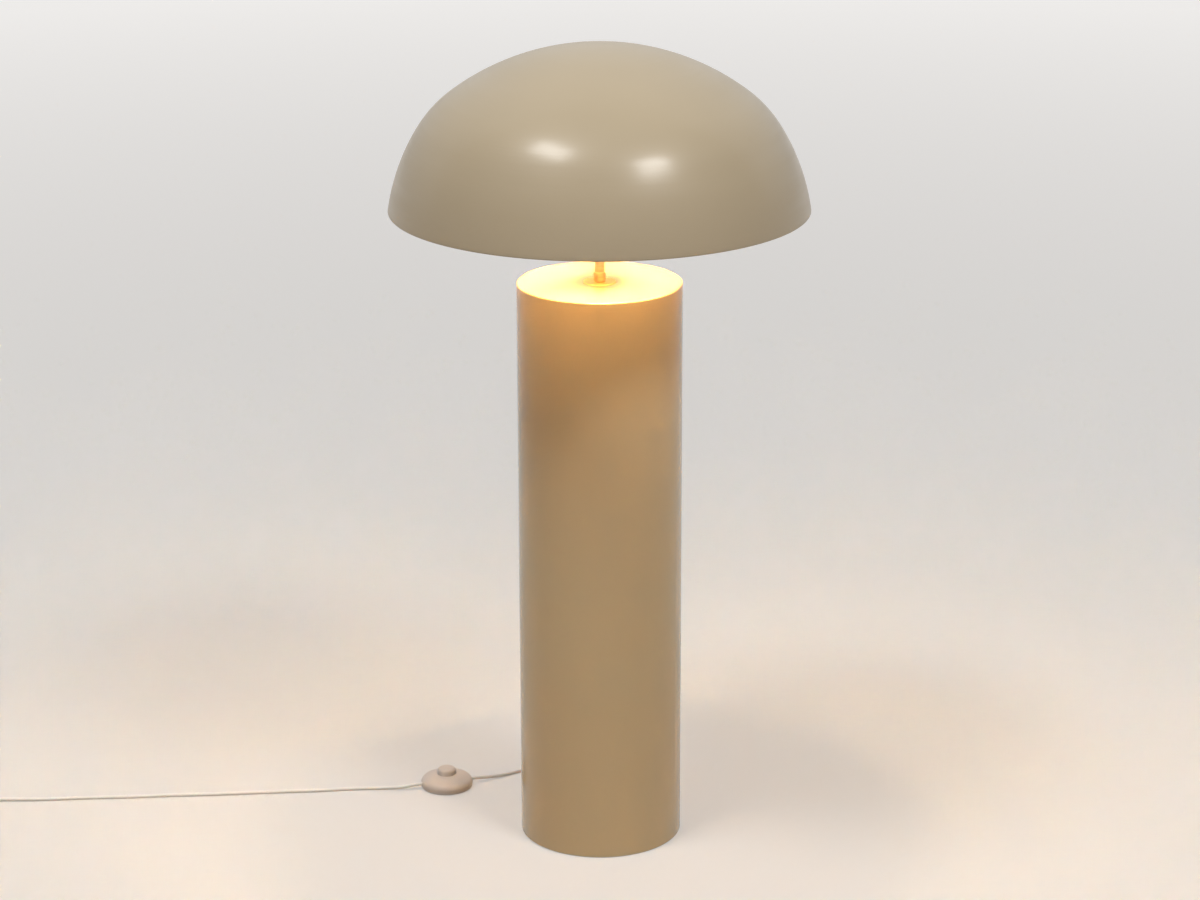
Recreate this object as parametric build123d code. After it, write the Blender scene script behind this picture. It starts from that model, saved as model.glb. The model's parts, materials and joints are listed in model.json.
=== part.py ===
from build123d import *
import math
import os

# Mushroom floor lamp: a spun dome over a plain drum column, with a foot switch
# in its mains cord. Millimetres, +Z up, origin at the centre of the foot on the floor.
# The lamp faces -Y, and the cord leaves the column at the back, on +Y.

# Clearances
fit = 0.3               # between neighbouring pieces that only lie together
thread_fit = 0.1        # radial, between a thread and its hole
bore_fit = 0.15         # radial, between the cord and what it passes through
facet_sag = 0.4         # most that a chord of a turned outline lies inside its arc

# Column and foot
column_radius = 100.0
column_top = 710.0
column_wall = 1.2
column_lid = 2.0
column_edge = 2.0
column_gap = 1.0        # under the column's lower edge
pad_radius = 12.0
pad_thickness = 3.0
pad_inset = 18.0        # from the column's face to a pad's middle
pad_count = 4
plate_thickness = 3.0
lug_count = 3
lug_first_angle = 45.0
lug_width = 16.0
lug_length = 20.0
lug_height = 22.0
lug_thickness = 2.0
lug_hole_inset = 12.0   # from the column's inner wall to the screw's axis
lug_weld = 0.1          # between a lug's edges and the column's inner wall
screw_recess = 0.2      # of the countersunk heads below the plate
ballast_clear = 22.8    # between the ballast and the column's inner wall
ballast_thickness = 24.0
ballast_chamfer = 3.0
ballast_slot_width = 26.0
ballast_slot_depth = 34.0
base_screw_radius = 2.0
base_screw_length = 11.0
ballast_bolt_radius = 3.0
ballast_bolt_length = 36.0
ballast_nut_height = 5.0
ballast_nut_flats = 10.0
ballast_washer_radius = 9.0
ballast_washer_thickness = 1.6

# Cord and its exit
cord_radius = 2.3
cord_sides = 6          # its solids are faceted, with flats above and below
exit_height = 14.0
bush_wall = 2.55        # round its bore, at the neck
bush_tip_wall = 0.95
bush_flange_radius = 7.0
bush_flange = 2.0
bush_barb_radius = 6.0
bush_barb = 1.5
bush_taper_length = 24.0
bush_seat = 0.1         # between its flange and the column
clamp_width = 26.0
clamp_length = 10.0
clamp_cap = 4.0         # over the cord
clamp_screw_radius = 1.5
clamp_screw_inset = 4.0
clamp_screw_head = 1.8
riser_place = 20.0      # of the inner cord, from the inner end of the ballast's slot
riser_height = 110.0    # where it leaves the slot's line
axis_height = 380.0     # where it reaches the column's axis
riser_bends = (20.0, 80.0, 110.0)
cord_in_cap = 7.0       # end of the inner cord over the cap's neck

# Stem
nipple_radius = 5.0
nipple_bore = 4.0
nipple_below = 18.0     # under the column's top face
nipple_into_cap = 9.0
inner_nut_height = 6.0
inner_nut_flats = 14.0
inner_washer_radius = 15.0
inner_washer_thickness = 2.0
saucer_radius = 20.0
saucer_thickness = 1.3
saucer_bevel = 0.8
collar_radius = 7.35
collar_height = 11.5
collar_bevel = 0.7
sleeve_radius = 6.0
sleeve_wall = 0.8
sleeve_length = 63.2

# Lampholder
holder_radius = 19.4
holder_wall = 1.6
cap_height = 20.0
cap_neck_radius = 9.0
cap_neck_height = 6.0
cap_bevel = 3.0
skirt_height = 36.0
flange_width = 4.1      # beyond the skirt
flange_thickness = 2.0
flange_rise = 9.0       # from the skirt's lower edge to the flange's underside
insert_thickness = 12.0
insert_drop = 3.0       # below the skirt's lower edge
insert_hole_radius = 2.0
insert_hole_place = 8.0
shell_wall = 0.4
shell_height = 24.0
contact_width = 6.0
contact_thickness = 0.5
contact_rise = 2.5
contact_foot = 3.0      # length of its lower flat
contact_tip = (3.0, 6.0)          # where its upper flat starts and ends
contact_clear = 5.0     # from its foot to the shell's bore
ring_wall = 5.6
ring_height = 7.0
ring_flutes = 12
ring_flute_radius = 1.5

# Bulb
bulb_radius = 30.0
bulb_length = 108.0
bulb_cap_radius = 13.0
bulb_cap_length = 25.0
bulb_contact_radius = 5.0
bulb_contact_height = 2.0
bulb_cap_taper = 4.0    # height of the cone round its contact
bulb_cap_step = (0.6, 1.0)        # width and height of the bevel over that cone
bulb_collar_length = 26.0
bulb_collar_radius = 23.0
bulb_collar_foot = 14.0
bulb_collar_lip = (1.5, 4.0)      # how much its foot widens, and how high

# Shade
rim_drop = 17.0         # from the lampholder's flange down to the rim
dome_arcs = ((300.0, 37.0), (145.0, 58.0), (252.0, 81.6))   # radius, slope at its lower end
dome_wall = 1.2
hem_depth = 6.0
spider_arms = 3
spider_thickness = 2.0
spider_arm_width = 12.0
spider_ring_width = 9.6
spider_overlap = 4.0    # of each arm on the ring
spider_first_angle = 90.0
stud_slope = 75.5       # slope of the dome's wall at the studs
stud_radius = 2.0
stud_length = 8.0
stud_nut_flats = 7.0
stud_nut_height = 3.2
tab_above_stud = 9.0

# Foot switch
switch_centre = (-200.0, 122.0)
switch_turn = 15.4      # degrees, from +X to the axis of the cord
switch_radius = 33.5
switch_edge_height = 6.0
switch_shoulder = (8.0, 62.0)     # radius of the rounded edge, and how far round it goes
switch_crown = 46.2     # radius of the cover's crown
button_lip = 0.1954     # from the button's guide to where the crown starts
switch_wall = 2.0
switch_floor = 2.0
tray_wall = 2.0
tray_inset = 0.5        # of the tray's wall inside the cover's edge
tray_bevel = (1.0, 1.5)
seam = 0.1              # between the tray and the cover
switch_pad_count = 3
switch_pad_first_angle = 30.0
switch_pad_radius = 4.0
switch_pad_height = 1.0
switch_pad_inset = 8.5  # from the cover's edge to a pad's middle
switch_cord_height = 7.0
switch_reach = 46.0     # how far from its middle the cord still runs straight
button_radius = 11.9
button_rise = 7.6       # above the cover
button_edge = 3.5
button_edge_end = 80.0  # how far round its edge goes
button_wall = 2.0
button_flange = 1.4
button_flange_width = 1.5
button_travel = 3.5
collar_drop = 5.0       # length of the cover's guide for the button
guide_wall = 1.5
boss_radius = 3.2
boss_inset = 9.5        # from the cover's edge to a boss's middle
boss_clear = 1.8        # between a boss and the cord grips
switch_screw_radius = 1.3
switch_screw_length = 7.9
pilot_depth = 7.0       # of the screws' holes, over the tray's floor
mechanism_width = 16.0
mechanism_height = 4.3
mechanism_clear = 1.8   # between the mechanism and the terminals
plunger_clear = 1.6     # between the plunger and the spring
plunger_height = 4.5
spring_clear = 1.8      # between the spring and the button's skirt
spring_wire = 1.0
terminal_size = (4.0, 9.0, 5.0)
terminal_clear = 4.2    # between a terminal and its cord grip
grip_size = (5.0, 14.0, 6.6)
grip_inset = 9.0        # from the cover's edge to a grip's middle

# Plug
plug_length = 34.0
plug_width = 35.0
plug_thickness = 13.5
plug_nose_width = 27.0
plug_tail_width = 14.0
plug_edge = 1.5
plug_shoulders = (0.35, 0.7)      # where it is widest, as shares of its length
plug_rest = 0.1         # of the plug over the floor
pin_radius = 2.0
pin_spacing = 18.6
pin_length = 19.0
pin_sleeve_length = 10.0
pin_sleeve_wall = 0.35
pin_root = 8.0          # of each pin inside the body
pin_end_fit = 0.1       # at the pin's root
sleeve_end_fit = 0.05   # at a sleeve's ends and inside it
relief_length = 24.0
relief_root_thickness = 10.0
relief_tip_wall = 1.0   # over the cord
relief_slots = 4
relief_slot_width = 1.2
relief_slot_depth = 3.2

# Coil of the length that is put away
coil_centre = (-826.0, 38.6)
coil_outer = 32.0       # middle of the cord in the outermost turn
coil_gap = 0.5          # between neighbouring turns, and between layers
coil_half_turns = 5     # in the first layer
run_heading = 184.0     # way in which the cord comes in to the coil
run_in = 60.0           # straight length before the coil
tie_width = 10.0
tie_thickness = 0.8
tie_rest = 0.2          # of the tie over the floor
tie_fit = (1.4, 0.5, 0.3)         # inside, outside, and above and below the bundle
tail_radius = 42.0      # of the bend from the coil to the plug
tail_turn = 70.0
tail_corners = 3
tail_dip = 0.6          # of its first run below the upper layer

# Routes of the free cord, chosen by hand. The middle of the cord lies at floor_run on the floor.
floor_gap = 0.1
floor_run = cord_radius + floor_gap

lead_route = (
    (0.0, 126.1, exit_height),
    (0.0, 146.0, exit_height),
    (-4.0, 166.0, 8.5),
    (-14.0, 183.0, 3.0),
    (-32.0, 195.0, floor_run),
    (-56.0, 196.0, floor_run),
    (-80.0, 184.5, floor_run),
    (-103.0, 166.5, floor_run),
    (-127.0, 149.5, 3.0),
    (-149.0, 137.4, 5.6),
)

run_route = (
    (-255.0, 107.2, 4.8),
    (-283.0, 110.0, floor_run),
    (-318.0, 109.0, floor_run),
    (-370.0, 102.0, floor_run),
    (-430.0, 98.5, floor_run),
    (-490.0, 92.0, floor_run),
    (-550.0, 89.5, floor_run),
    (-610.0, 83.5, floor_run),
    (-670.0, 81.0, floor_run),
    (-725.0, 75.5, floor_run),
)


# ---------------------------------------------------------------- helpers

def sin(angle):
    return math.sin(math.radians(angle))


def cos(angle):
    return math.cos(math.radians(angle))


def chord_angles(radius, start, end):
    # Angles that cut an arc into equal chords, none further from it than facet_sag.
    sag = min(facet_sag, 0.05 * radius)
    step = 2 * math.degrees(math.acos(1 - sag / radius))
    count = max(1, math.ceil(abs(end - start) / step))
    return [start + (end - start) * i / count for i in range(count + 1)]


def arc_points(centre, radius, start, end):
    # Points on an arc of a turned outline, from start to end in degrees.
    angles = chord_angles(radius, start, end)
    return [(centre[0] + radius * cos(a), centre[1] + radius * sin(a)) for a in angles]


def turned(outline):
    # Solid of revolution about Z from points (radius, height).
    points = []
    for point in outline:
        if not points or math.dist(point, points[-1]) > 1e-6:
            points.append(point)
    return revolve(Plane.XZ * make_face(Polyline(*points, close=True)), Axis.Z)


def ring(outer, inner, low, high):
    return turned(((inner, low), (outer, low), (outer, high), (inner, high)))


def disc(radius, low, high):
    return Pos(0, 0, (low + high) / 2) * Cylinder(radius, high - low)


def block(size, centre, low):
    return Pos(centre[0], centre[1], low + size[2] / 2) * Box(*size)


def hexagon(flats, low, high):
    side = RegularPolygon(flats / math.sqrt(3), 6)
    return Pos(0, 0, low) * extrude(side, high - low)


def around(shape, count, first=0.0):
    # Copies of one shape, evenly spaced about Z.
    return [Rot(0, 0, first + 360 * i / count) * shape for i in range(count)]


def rod(start, end, radius):
    # Straight round bar between two points.
    axis = Vector(*end) - Vector(*start)
    return extrude(Plane(origin=start, z_dir=axis) * Circle(radius), axis.length)


# ---------------------------------------------------------------- column and foot

plate_low = pad_thickness
plate_top = plate_low + plate_thickness
ballast_top = plate_top + ballast_thickness
inner_radius = column_radius - column_wall
pad_circle = column_radius - pad_inset
ballast_radius = inner_radius - ballast_clear
slot_start = ballast_radius - ballast_slot_depth
bush_bore = cord_radius + bore_fit
bush_neck = bush_bore + bush_wall
bush_tip_radius = bush_bore + bush_tip_wall
lug_screw_circle = inner_radius - lug_hole_inset
lid_low = column_top - column_lid


def column_shell():
    edge = arc_points(
        (column_radius - column_edge, column_top - column_edge), column_edge, 0, 90
    )
    outline = [(column_radius, column_gap)] + edge
    outline += [
        (nipple_radius + thread_fit, column_top),
        (nipple_radius + thread_fit, lid_low),
        (inner_radius, lid_low),
        (inner_radius, column_gap),
    ]
    exit_hole = rod(
        (0, inner_radius - 5, exit_height),
        (0, column_radius + 5, exit_height),
        bush_neck + fit,
    )
    return turned(outline) - exit_hole


def base_plate():
    plate = disc(inner_radius - fit, plate_low, plate_top)
    screw_hole = Pos(lug_screw_circle, 0, 0) * turned(
        (
            (0, plate_low),
            (2 * base_screw_radius + fit, plate_low),
            (base_screw_radius + fit, plate_low + base_screw_radius),
            (base_screw_radius + fit, plate_top),
            (0, plate_top),
        )
    )
    bolt_hole = turned(
        (
            (0, plate_low),
            (2 * ballast_bolt_radius + fit, plate_low),
            (ballast_bolt_radius + fit, plate_top),
            (0, plate_top),
        )
    )
    for hole in around(screw_hole, lug_count, lug_first_angle):
        plate -= hole
    for x in clamp_screw_places:
        plate -= Pos(x, clamp_middle, 0) * disc(clamp_screw_radius, plate_low, plate_top)
    return plate - bolt_hole


def base_lugs():
    # Angle brackets welded inside the column, which take the screws of the base plate.
    wall_side = math.sqrt((inner_radius - lug_weld) ** 2 - (lug_width / 2) ** 2)
    outline = Polyline(
        (wall_side, plate_top),
        (wall_side, plate_top + lug_height),
        (wall_side - lug_thickness, plate_top + lug_height),
        (wall_side - lug_thickness, plate_top + lug_thickness),
        (wall_side - lug_length, plate_top + lug_thickness),
        (wall_side - lug_length, plate_top),
        close=True,
    )
    lug = extrude(Plane.XZ * make_face(outline), lug_width / 2, both=True)
    tapped = disc(base_screw_radius + thread_fit, plate_top, plate_top + lug_thickness)
    lug -= Pos(lug_screw_circle, 0, 0) * tapped
    return around(lug, lug_count, lug_first_angle)


def base_screws():
    low = plate_low + screw_recess
    screw = Pos(lug_screw_circle, 0, 0) * turned(
        (
            (0, low),
            (2 * base_screw_radius, low),
            (base_screw_radius, low + base_screw_radius),
            (base_screw_radius, plate_low + base_screw_length),
            (0, plate_low + base_screw_length),
        )
    )
    return around(screw, lug_count, lug_first_angle)


def ballast_disc():
    r = ballast_radius
    bore = ballast_bolt_radius + fit
    disc_body = turned(
        (
            (bore, plate_top),
            (r, plate_top),
            (r, ballast_top - ballast_chamfer),
            (r - ballast_chamfer, ballast_top),
            (bore, ballast_top),
        )
    )
    size = (ballast_slot_width, r, ballast_thickness)
    return disc_body - block(size, (0, slot_start + r / 2), plate_top)


def ballast_bolt():
    low = plate_low + screw_recess
    top = plate_low + ballast_bolt_length
    head = 2 * ballast_bolt_radius - fit
    return turned(
        (
            (0, low),
            (head, low),
            (ballast_bolt_radius, plate_top),
            (ballast_bolt_radius, top),
            (0, top),
        )
    )


def ballast_washer():
    top = ballast_top + ballast_washer_thickness
    return ring(ballast_washer_radius, ballast_bolt_radius + fit, ballast_top, top)


def ballast_nut():
    low = ballast_top + ballast_washer_thickness
    top = low + ballast_nut_height
    nut = hexagon(ballast_nut_flats, low, top)
    return nut - disc(ballast_bolt_radius + thread_fit, low, top)


def foot_pads():
    pad = Pos(pad_circle, 0, 0) * disc(pad_radius, 0, pad_thickness)
    return around(pad, pad_count)


# ---------------------------------------------------------------- cord exit and clamp

clamp_middle = (ballast_radius + inner_radius - bush_barb - 1) / 2
clamp_screw_reach = clamp_width / 2 - clamp_screw_inset
clamp_screw_places = (-clamp_screw_reach, clamp_screw_reach)
clamp_top = exit_height + cord_radius + clamp_cap


def cord_bush():
    # Bend relief pushed through the column's wall, with a flange outside and a barb inside.
    inner_face = inner_radius - fit
    flange_face = column_radius + bush_seat
    tip = flange_face + bush_flange + bush_taper_length
    outline = (
        (bush_bore, inner_face - bush_barb),
        (bush_barb_radius, inner_face - bush_barb),
        (bush_barb_radius, inner_face),
        (bush_neck, inner_face),
        (bush_neck, flange_face),
        (bush_flange_radius, flange_face),
        (bush_flange_radius, flange_face + bush_flange),
        (bush_neck, flange_face + bush_flange),
        (bush_tip_radius, tip),
        (bush_bore, tip),
    )
    return Pos(0, 0, exit_height) * Rot(-90, 0, 0) * turned(outline)


def cord_clamp():
    # Saddle over the cord, screwed to the base plate: it takes a pull on the cord.
    size = (clamp_width, clamp_length, clamp_top - plate_top)
    saddle = block(size, (0, clamp_middle), plate_top)
    tunnel = rod((0, 0, exit_height), (0, 2 * column_radius, exit_height), cord_radius + bore_fit)
    saddle -= tunnel
    for x in clamp_screw_places:
        hole = disc(clamp_screw_radius + thread_fit, plate_top, clamp_top)
        saddle -= Pos(x, clamp_middle, 0) * hole
    return saddle


def clamp_screws():
    head = 2 * clamp_screw_radius
    screw = turned(
        (
            (0, plate_low + fit),
            (clamp_screw_radius - thread_fit, plate_low + fit),
            (clamp_screw_radius - thread_fit, clamp_top),
            (head, clamp_top),
            (head, clamp_top + clamp_screw_head),
            (0, clamp_top + clamp_screw_head),
        )
    )
    return [Pos(x, clamp_middle, 0) * screw for x in clamp_screw_places]


def inner_cord():
    # Held all the way: through the clamp, up in the ballast's slot, and along the axis.
    riser = slot_start + riser_place
    line = FilletPolyline(
        (0, lead_route[0][1], exit_height),
        (0, riser, exit_height),
        (0, riser, riser_height),
        (0, 0, axis_height),
        (0, 0, cap_low + cap_neck_height + cord_in_cap),
        radius=list(riser_bends),
    )
    return tube(line)


# ---------------------------------------------------------------- stem

saucer_top = column_top + saucer_thickness
collar_top = saucer_top + collar_height
cap_low = collar_top + sleeve_length
nipple_low = column_top - nipple_below
nipple_top = cap_low + nipple_into_cap


def threaded_nipple():
    return ring(nipple_radius, nipple_bore, nipple_low, nipple_top)


def inner_washer():
    low = lid_low - inner_washer_thickness
    return ring(inner_washer_radius, nipple_radius + thread_fit, low, lid_low)


def inner_nut():
    top = lid_low - inner_washer_thickness
    low = top - inner_nut_height
    return hexagon(inner_nut_flats, low, top) - disc(nipple_radius + thread_fit, low, top)


def saucer_washer():
    bore = nipple_radius + thread_fit
    return turned(
        (
            (bore, column_top),
            (saucer_radius, column_top),
            (saucer_radius, saucer_top - saucer_bevel),
            (saucer_radius - saucer_bevel, saucer_top),
            (bore, saucer_top),
        )
    )


def stem_collar():
    bore = nipple_radius + thread_fit
    bevel = collar_bevel
    return turned(
        (
            (bore, saucer_top),
            (collar_radius - bevel, saucer_top),
            (collar_radius, saucer_top + bevel),
            (collar_radius, collar_top - bevel),
            (collar_radius - bevel, collar_top),
            (bore, collar_top),
        )
    )


def stem_sleeve():
    return ring(sleeve_radius, sleeve_radius - sleeve_wall, collar_top, cap_low)


# ---------------------------------------------------------------- lampholder

skirt_low = cap_low + cap_height
skirt_top = skirt_low + skirt_height
flange_low = skirt_low + flange_rise
flange_radius = holder_radius + flange_width
ring_radius = holder_radius + ring_wall
shell_bore = bulb_cap_radius + fit
flange_top = flange_low + flange_thickness
insert_low = skirt_low - insert_drop
insert_top = insert_low + insert_thickness
contact_top = insert_top + contact_rise


def holder_cap():
    # Turned cup: a neck that screws on the nipple, a shoulder, and a rim that takes the skirt.
    bore = nipple_radius + thread_fit
    shoulder = cap_low + cap_neck_height
    return turned(
        (
            (bore, cap_low),
            (cap_neck_radius, cap_low),
            (cap_neck_radius, shoulder),
            (holder_radius - cap_bevel, shoulder),
            (holder_radius, shoulder + cap_bevel),
            (holder_radius, skirt_low),
            (holder_radius - holder_wall, skirt_low),
            (holder_radius - holder_wall, shoulder + holder_wall),
            (bore, shoulder + holder_wall),
        )
    )


def holder_skirt():
    # Outer sleeve with the flange that the shade's spider lies on.
    inner = holder_radius - holder_wall
    return turned(
        (
            (inner, skirt_low),
            (holder_radius, skirt_low),
            (holder_radius, flange_low),
            (flange_radius, flange_low),
            (flange_radius, flange_top),
            (holder_radius, flange_top),
            (holder_radius, skirt_top),
            (inner, skirt_top),
        )
    )


def holder_insert():
    # Ceramic block that carries the contacts, with a hole for each core of the cord.
    radius = holder_radius - holder_wall - fit
    body = disc(radius, insert_low, insert_top)
    hole = disc(insert_hole_radius, insert_low, insert_top)
    for x in (-insert_hole_place, insert_hole_place):
        body -= Pos(x, 0, 0) * hole
    return body


def screw_shell():
    return ring(shell_bore + shell_wall, shell_bore, insert_top, insert_top + shell_height)


def centre_contact():
    # Springy brass strip, cranked up under the bulb's contact.
    start, low = contact_clear - shell_bore, insert_top
    tip_start, tip_end = contact_tip
    bend = start + contact_foot
    outline = Polyline(
        (start, low),
        (bend, low),
        (tip_start, contact_top - contact_thickness),
        (tip_end, contact_top - contact_thickness),
        (tip_end, contact_top),
        (tip_start - contact_thickness / 2, contact_top),
        (bend - contact_thickness / 2, low + contact_thickness),
        (start, low + contact_thickness),
        close=True,
    )
    return extrude(Plane.XZ * make_face(outline), contact_width / 2, both=True)


def clamp_ring():
    # Fluted ring on the lampholder's thread, which holds the spider down.
    low = flange_top + spider_thickness
    body = ring(ring_radius, holder_radius + thread_fit, low, low + ring_height)
    place = Pos(ring_radius + ring_flute_radius / 2, 0, 0)
    flute = place * disc(ring_flute_radius, low, low + ring_height)
    for cut in around(flute, ring_flutes):
        body -= cut
    return body


# ---------------------------------------------------------------- bulb

bulb_low = contact_top + fit
bulb_cap_low = bulb_low + bulb_contact_height
bulb_collar_low = bulb_cap_low + bulb_cap_length
bulb_collar_top = bulb_collar_low + bulb_collar_length
bulb_middle = bulb_low + bulb_length - bulb_radius


def bulb_contact():
    return disc(bulb_contact_radius, bulb_low, bulb_cap_low)


def bulb_cap():
    step_width, step_height = bulb_cap_step
    return turned(
        (
            (0, bulb_cap_low),
            (bulb_contact_radius + 1, bulb_cap_low),
            (bulb_cap_radius - step_width, bulb_cap_low + bulb_cap_taper),
            (bulb_cap_radius, bulb_cap_low + bulb_cap_taper + step_height),
            (bulb_cap_radius, bulb_collar_low),
            (0, bulb_collar_low),
        )
    )


def bulb_collar():
    lip_width, lip_height = bulb_collar_lip
    return turned(
        (
            (0, bulb_collar_low),
            (bulb_collar_foot, bulb_collar_low),
            (bulb_collar_foot + lip_width, bulb_collar_low + lip_height),
            (bulb_collar_radius, bulb_collar_top),
            (0, bulb_collar_top),
        )
    )


def bulb_globe():
    # Sealed opal globe, whose foot sits on the collar.
    start = -math.degrees(math.acos(bulb_collar_radius / bulb_radius))
    globe = arc_points((0, bulb_middle), bulb_radius, start, 90)
    return turned([(0, bulb_collar_top), (bulb_collar_radius, bulb_collar_top)] + globe)


# ---------------------------------------------------------------- shade

def dome_point(slope, depth=0.0):
    # Point (radius, height) on the dome's outline where it has this slope, this deep in the wall.
    x, z, low = 0.0, dome_top, 0.0
    for radius, high in dome_arcs:
        here = min(max(slope, low), high)
        x += radius * (sin(here) - sin(low))
        z -= radius * (cos(low) - cos(here))
        low = high
    return x - depth * sin(slope), z - depth * cos(slope)


def dome_curve(depth, last):
    # The outline from the apex to the slope `last`, each arc cut into chords.
    points, low = [dome_point(0, depth)], 0.0
    for radius, high in dome_arcs:
        end = min(high, last)
        points += [dome_point(slope, depth) for slope in chord_angles(radius, low, end)[1:]]
        low = high
    return points


dome_drop = sum(
    radius * (cos(low) - cos(high))
    for (radius, high), low in zip(dome_arcs, [0] + [arc[1] for arc in dome_arcs])
)
spider_ring_radius = holder_radius + spider_ring_width
rim_height = flange_top - rim_drop
dome_top = rim_height + dome_drop
rim_slope = dome_arcs[-1][1]
hem_slope = rim_slope - math.degrees(hem_depth / dome_arcs[-1][0])


def stud_plane(depth):
    # On the dome's wall at a stud: X is level, Y climbs the wall, Z points into the shade.
    x, z = dome_point(stud_slope, depth)
    return Plane(origin=(x, 0, z), x_dir=(0, -1, 0), z_dir=(-sin(stud_slope), 0, -cos(stud_slope)))


def shade_dome():
    # Spun sheet with a flat hem folded inwards at the rim, and a welded stud for each arm.
    outline = dome_curve(0, rim_slope)
    outline += [dome_point(rim_slope, 2 * dome_wall), dome_point(hem_slope, 2 * dome_wall)]
    outline += reversed(dome_curve(dome_wall, hem_slope))
    dome = turned(outline)
    stud = extrude(stud_plane(dome_wall / 2) * Circle(stud_radius), stud_length + dome_wall / 2)
    for one in around(stud, spider_arms, spider_first_angle):
        dome += one
    return dome


def shade_spider():
    # Ring on the lampholder with three flat arms, each bent up into a tab along the wall.
    low, high = flange_top, flange_top + spider_thickness
    slope = stud_slope
    x, z = dome_point(slope, dome_wall + fit + facet_sag)
    lean = cos(slope) / sin(slope)
    inner_x, inner_z = x - spider_thickness * sin(slope), z - spider_thickness * cos(slope)
    top = (x - tab_above_stud * cos(slope), z + tab_above_stud * sin(slope))
    outline = Polyline(
        (spider_ring_radius - spider_overlap, low),
        (x + (z - low) * lean, low),
        top,
        (top[0] - spider_thickness * sin(slope), top[1] - spider_thickness * cos(slope)),
        (inner_x + (inner_z - high) * lean, high),
        (spider_ring_radius - spider_overlap, high),
        close=True,
    )
    arm = extrude(Plane.XZ * make_face(outline), spider_arm_width / 2, both=True)
    hole = extrude(stud_plane(dome_wall) * Circle(stud_radius + fit), stud_length)
    spider = ring(spider_ring_radius, holder_radius + fit, low, high)
    for one in around(arm - hole, spider_arms, spider_first_angle):
        spider += one
    return spider


def shade_nuts():
    seat = dome_wall + fit + facet_sag + spider_thickness
    plane = stud_plane(seat)
    nut = extrude(plane * RegularPolygon(stud_nut_flats / math.sqrt(3), 6), stud_nut_height)
    nut -= extrude(plane * Circle(stud_radius + thread_fit), stud_nut_height)
    return around(nut, spider_arms, spider_first_angle)


# ---------------------------------------------------------------- foot switch

switch_low = switch_pad_height
switch_floor_top = switch_low + switch_floor
shoulder_radius, shoulder_end = switch_shoulder
shoulder_centre = (switch_radius - shoulder_radius, switch_edge_height)
crown_centre = (
    shoulder_centre[0] + (shoulder_radius - switch_crown) * cos(shoulder_end),
    shoulder_centre[1] + (shoulder_radius - switch_crown) * sin(shoulder_end),
)
guide_bore = button_radius + fit
crown_end = math.degrees(math.acos((guide_bore + button_lip - crown_centre[0]) / switch_crown))
cover_top = crown_centre[1] + switch_crown * sin(crown_end)
guide_low = cover_top - collar_drop
button_low = guide_low - fit - button_flange
mechanism_top = switch_floor_top + mechanism_height
button_ceiling = cover_top + button_rise - button_wall
spring_radius = button_radius - button_wall - spring_clear - spring_wire / 2
plunger_radius = spring_radius - spring_wire / 2 - plunger_clear
grip_centre = switch_radius - grip_inset
terminal_centre = grip_centre - grip_size[0] / 2 - terminal_clear - terminal_size[0] / 2
mechanism_length = 2 * (terminal_centre - terminal_size[0] / 2 - mechanism_clear)
lead_end = terminal_centre + terminal_size[0] / 2 + 2 * seam
switch_pad_circle = switch_radius - switch_pad_inset
boss_circle = switch_radius - boss_inset
boss_lean = math.degrees(math.asin((grip_size[1] / 2 + boss_radius + boss_clear) / boss_circle))
boss_angles = (90, 180 + boss_lean, 360 - boss_lean)


def in_switch(shape):
    # From the switch's own axes, with X along its cord, to the lamp's.
    place = Pos(switch_centre[0], switch_centre[1], 0) * Rot(0, 0, switch_turn)
    if isinstance(shape, list):
        return [place * one for one in shape]
    return place * shape


def switch_point(along):
    # Point on the middle of the cord where it runs through the switch.
    x = switch_centre[0] + along * cos(switch_turn)
    y = switch_centre[1] + along * sin(switch_turn)
    return (x, y, switch_cord_height)


def beside_grips(shape):
    # Copies at the bosses: one square to the cord, and two just clear of a cord grip.
    return [Rot(0, 0, angle) * shape for angle in boss_angles]


def cord_passage():
    reach = 2 * switch_radius
    start, end = (-reach, 0, switch_cord_height), (reach, 0, switch_cord_height)
    return rod(start, end, cord_radius + bore_fit)


def switch_base():
    outer = switch_radius - tray_inset
    bevel_width, bevel_height = tray_bevel
    tray = turned(
        (
            (0, switch_low),
            (outer - bevel_width, switch_low),
            (outer, switch_low + bevel_height),
            (outer, switch_edge_height - seam),
            (outer - tray_wall, switch_edge_height - seam),
            (outer - tray_wall, switch_floor_top),
            (0, switch_floor_top),
        )
    )
    hole = Pos(boss_circle, 0, 0) * disc(switch_screw_radius + fit, switch_low, switch_floor_top)
    for one in beside_grips(hole):
        tray -= one
    return in_switch(tray - cord_passage())


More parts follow.
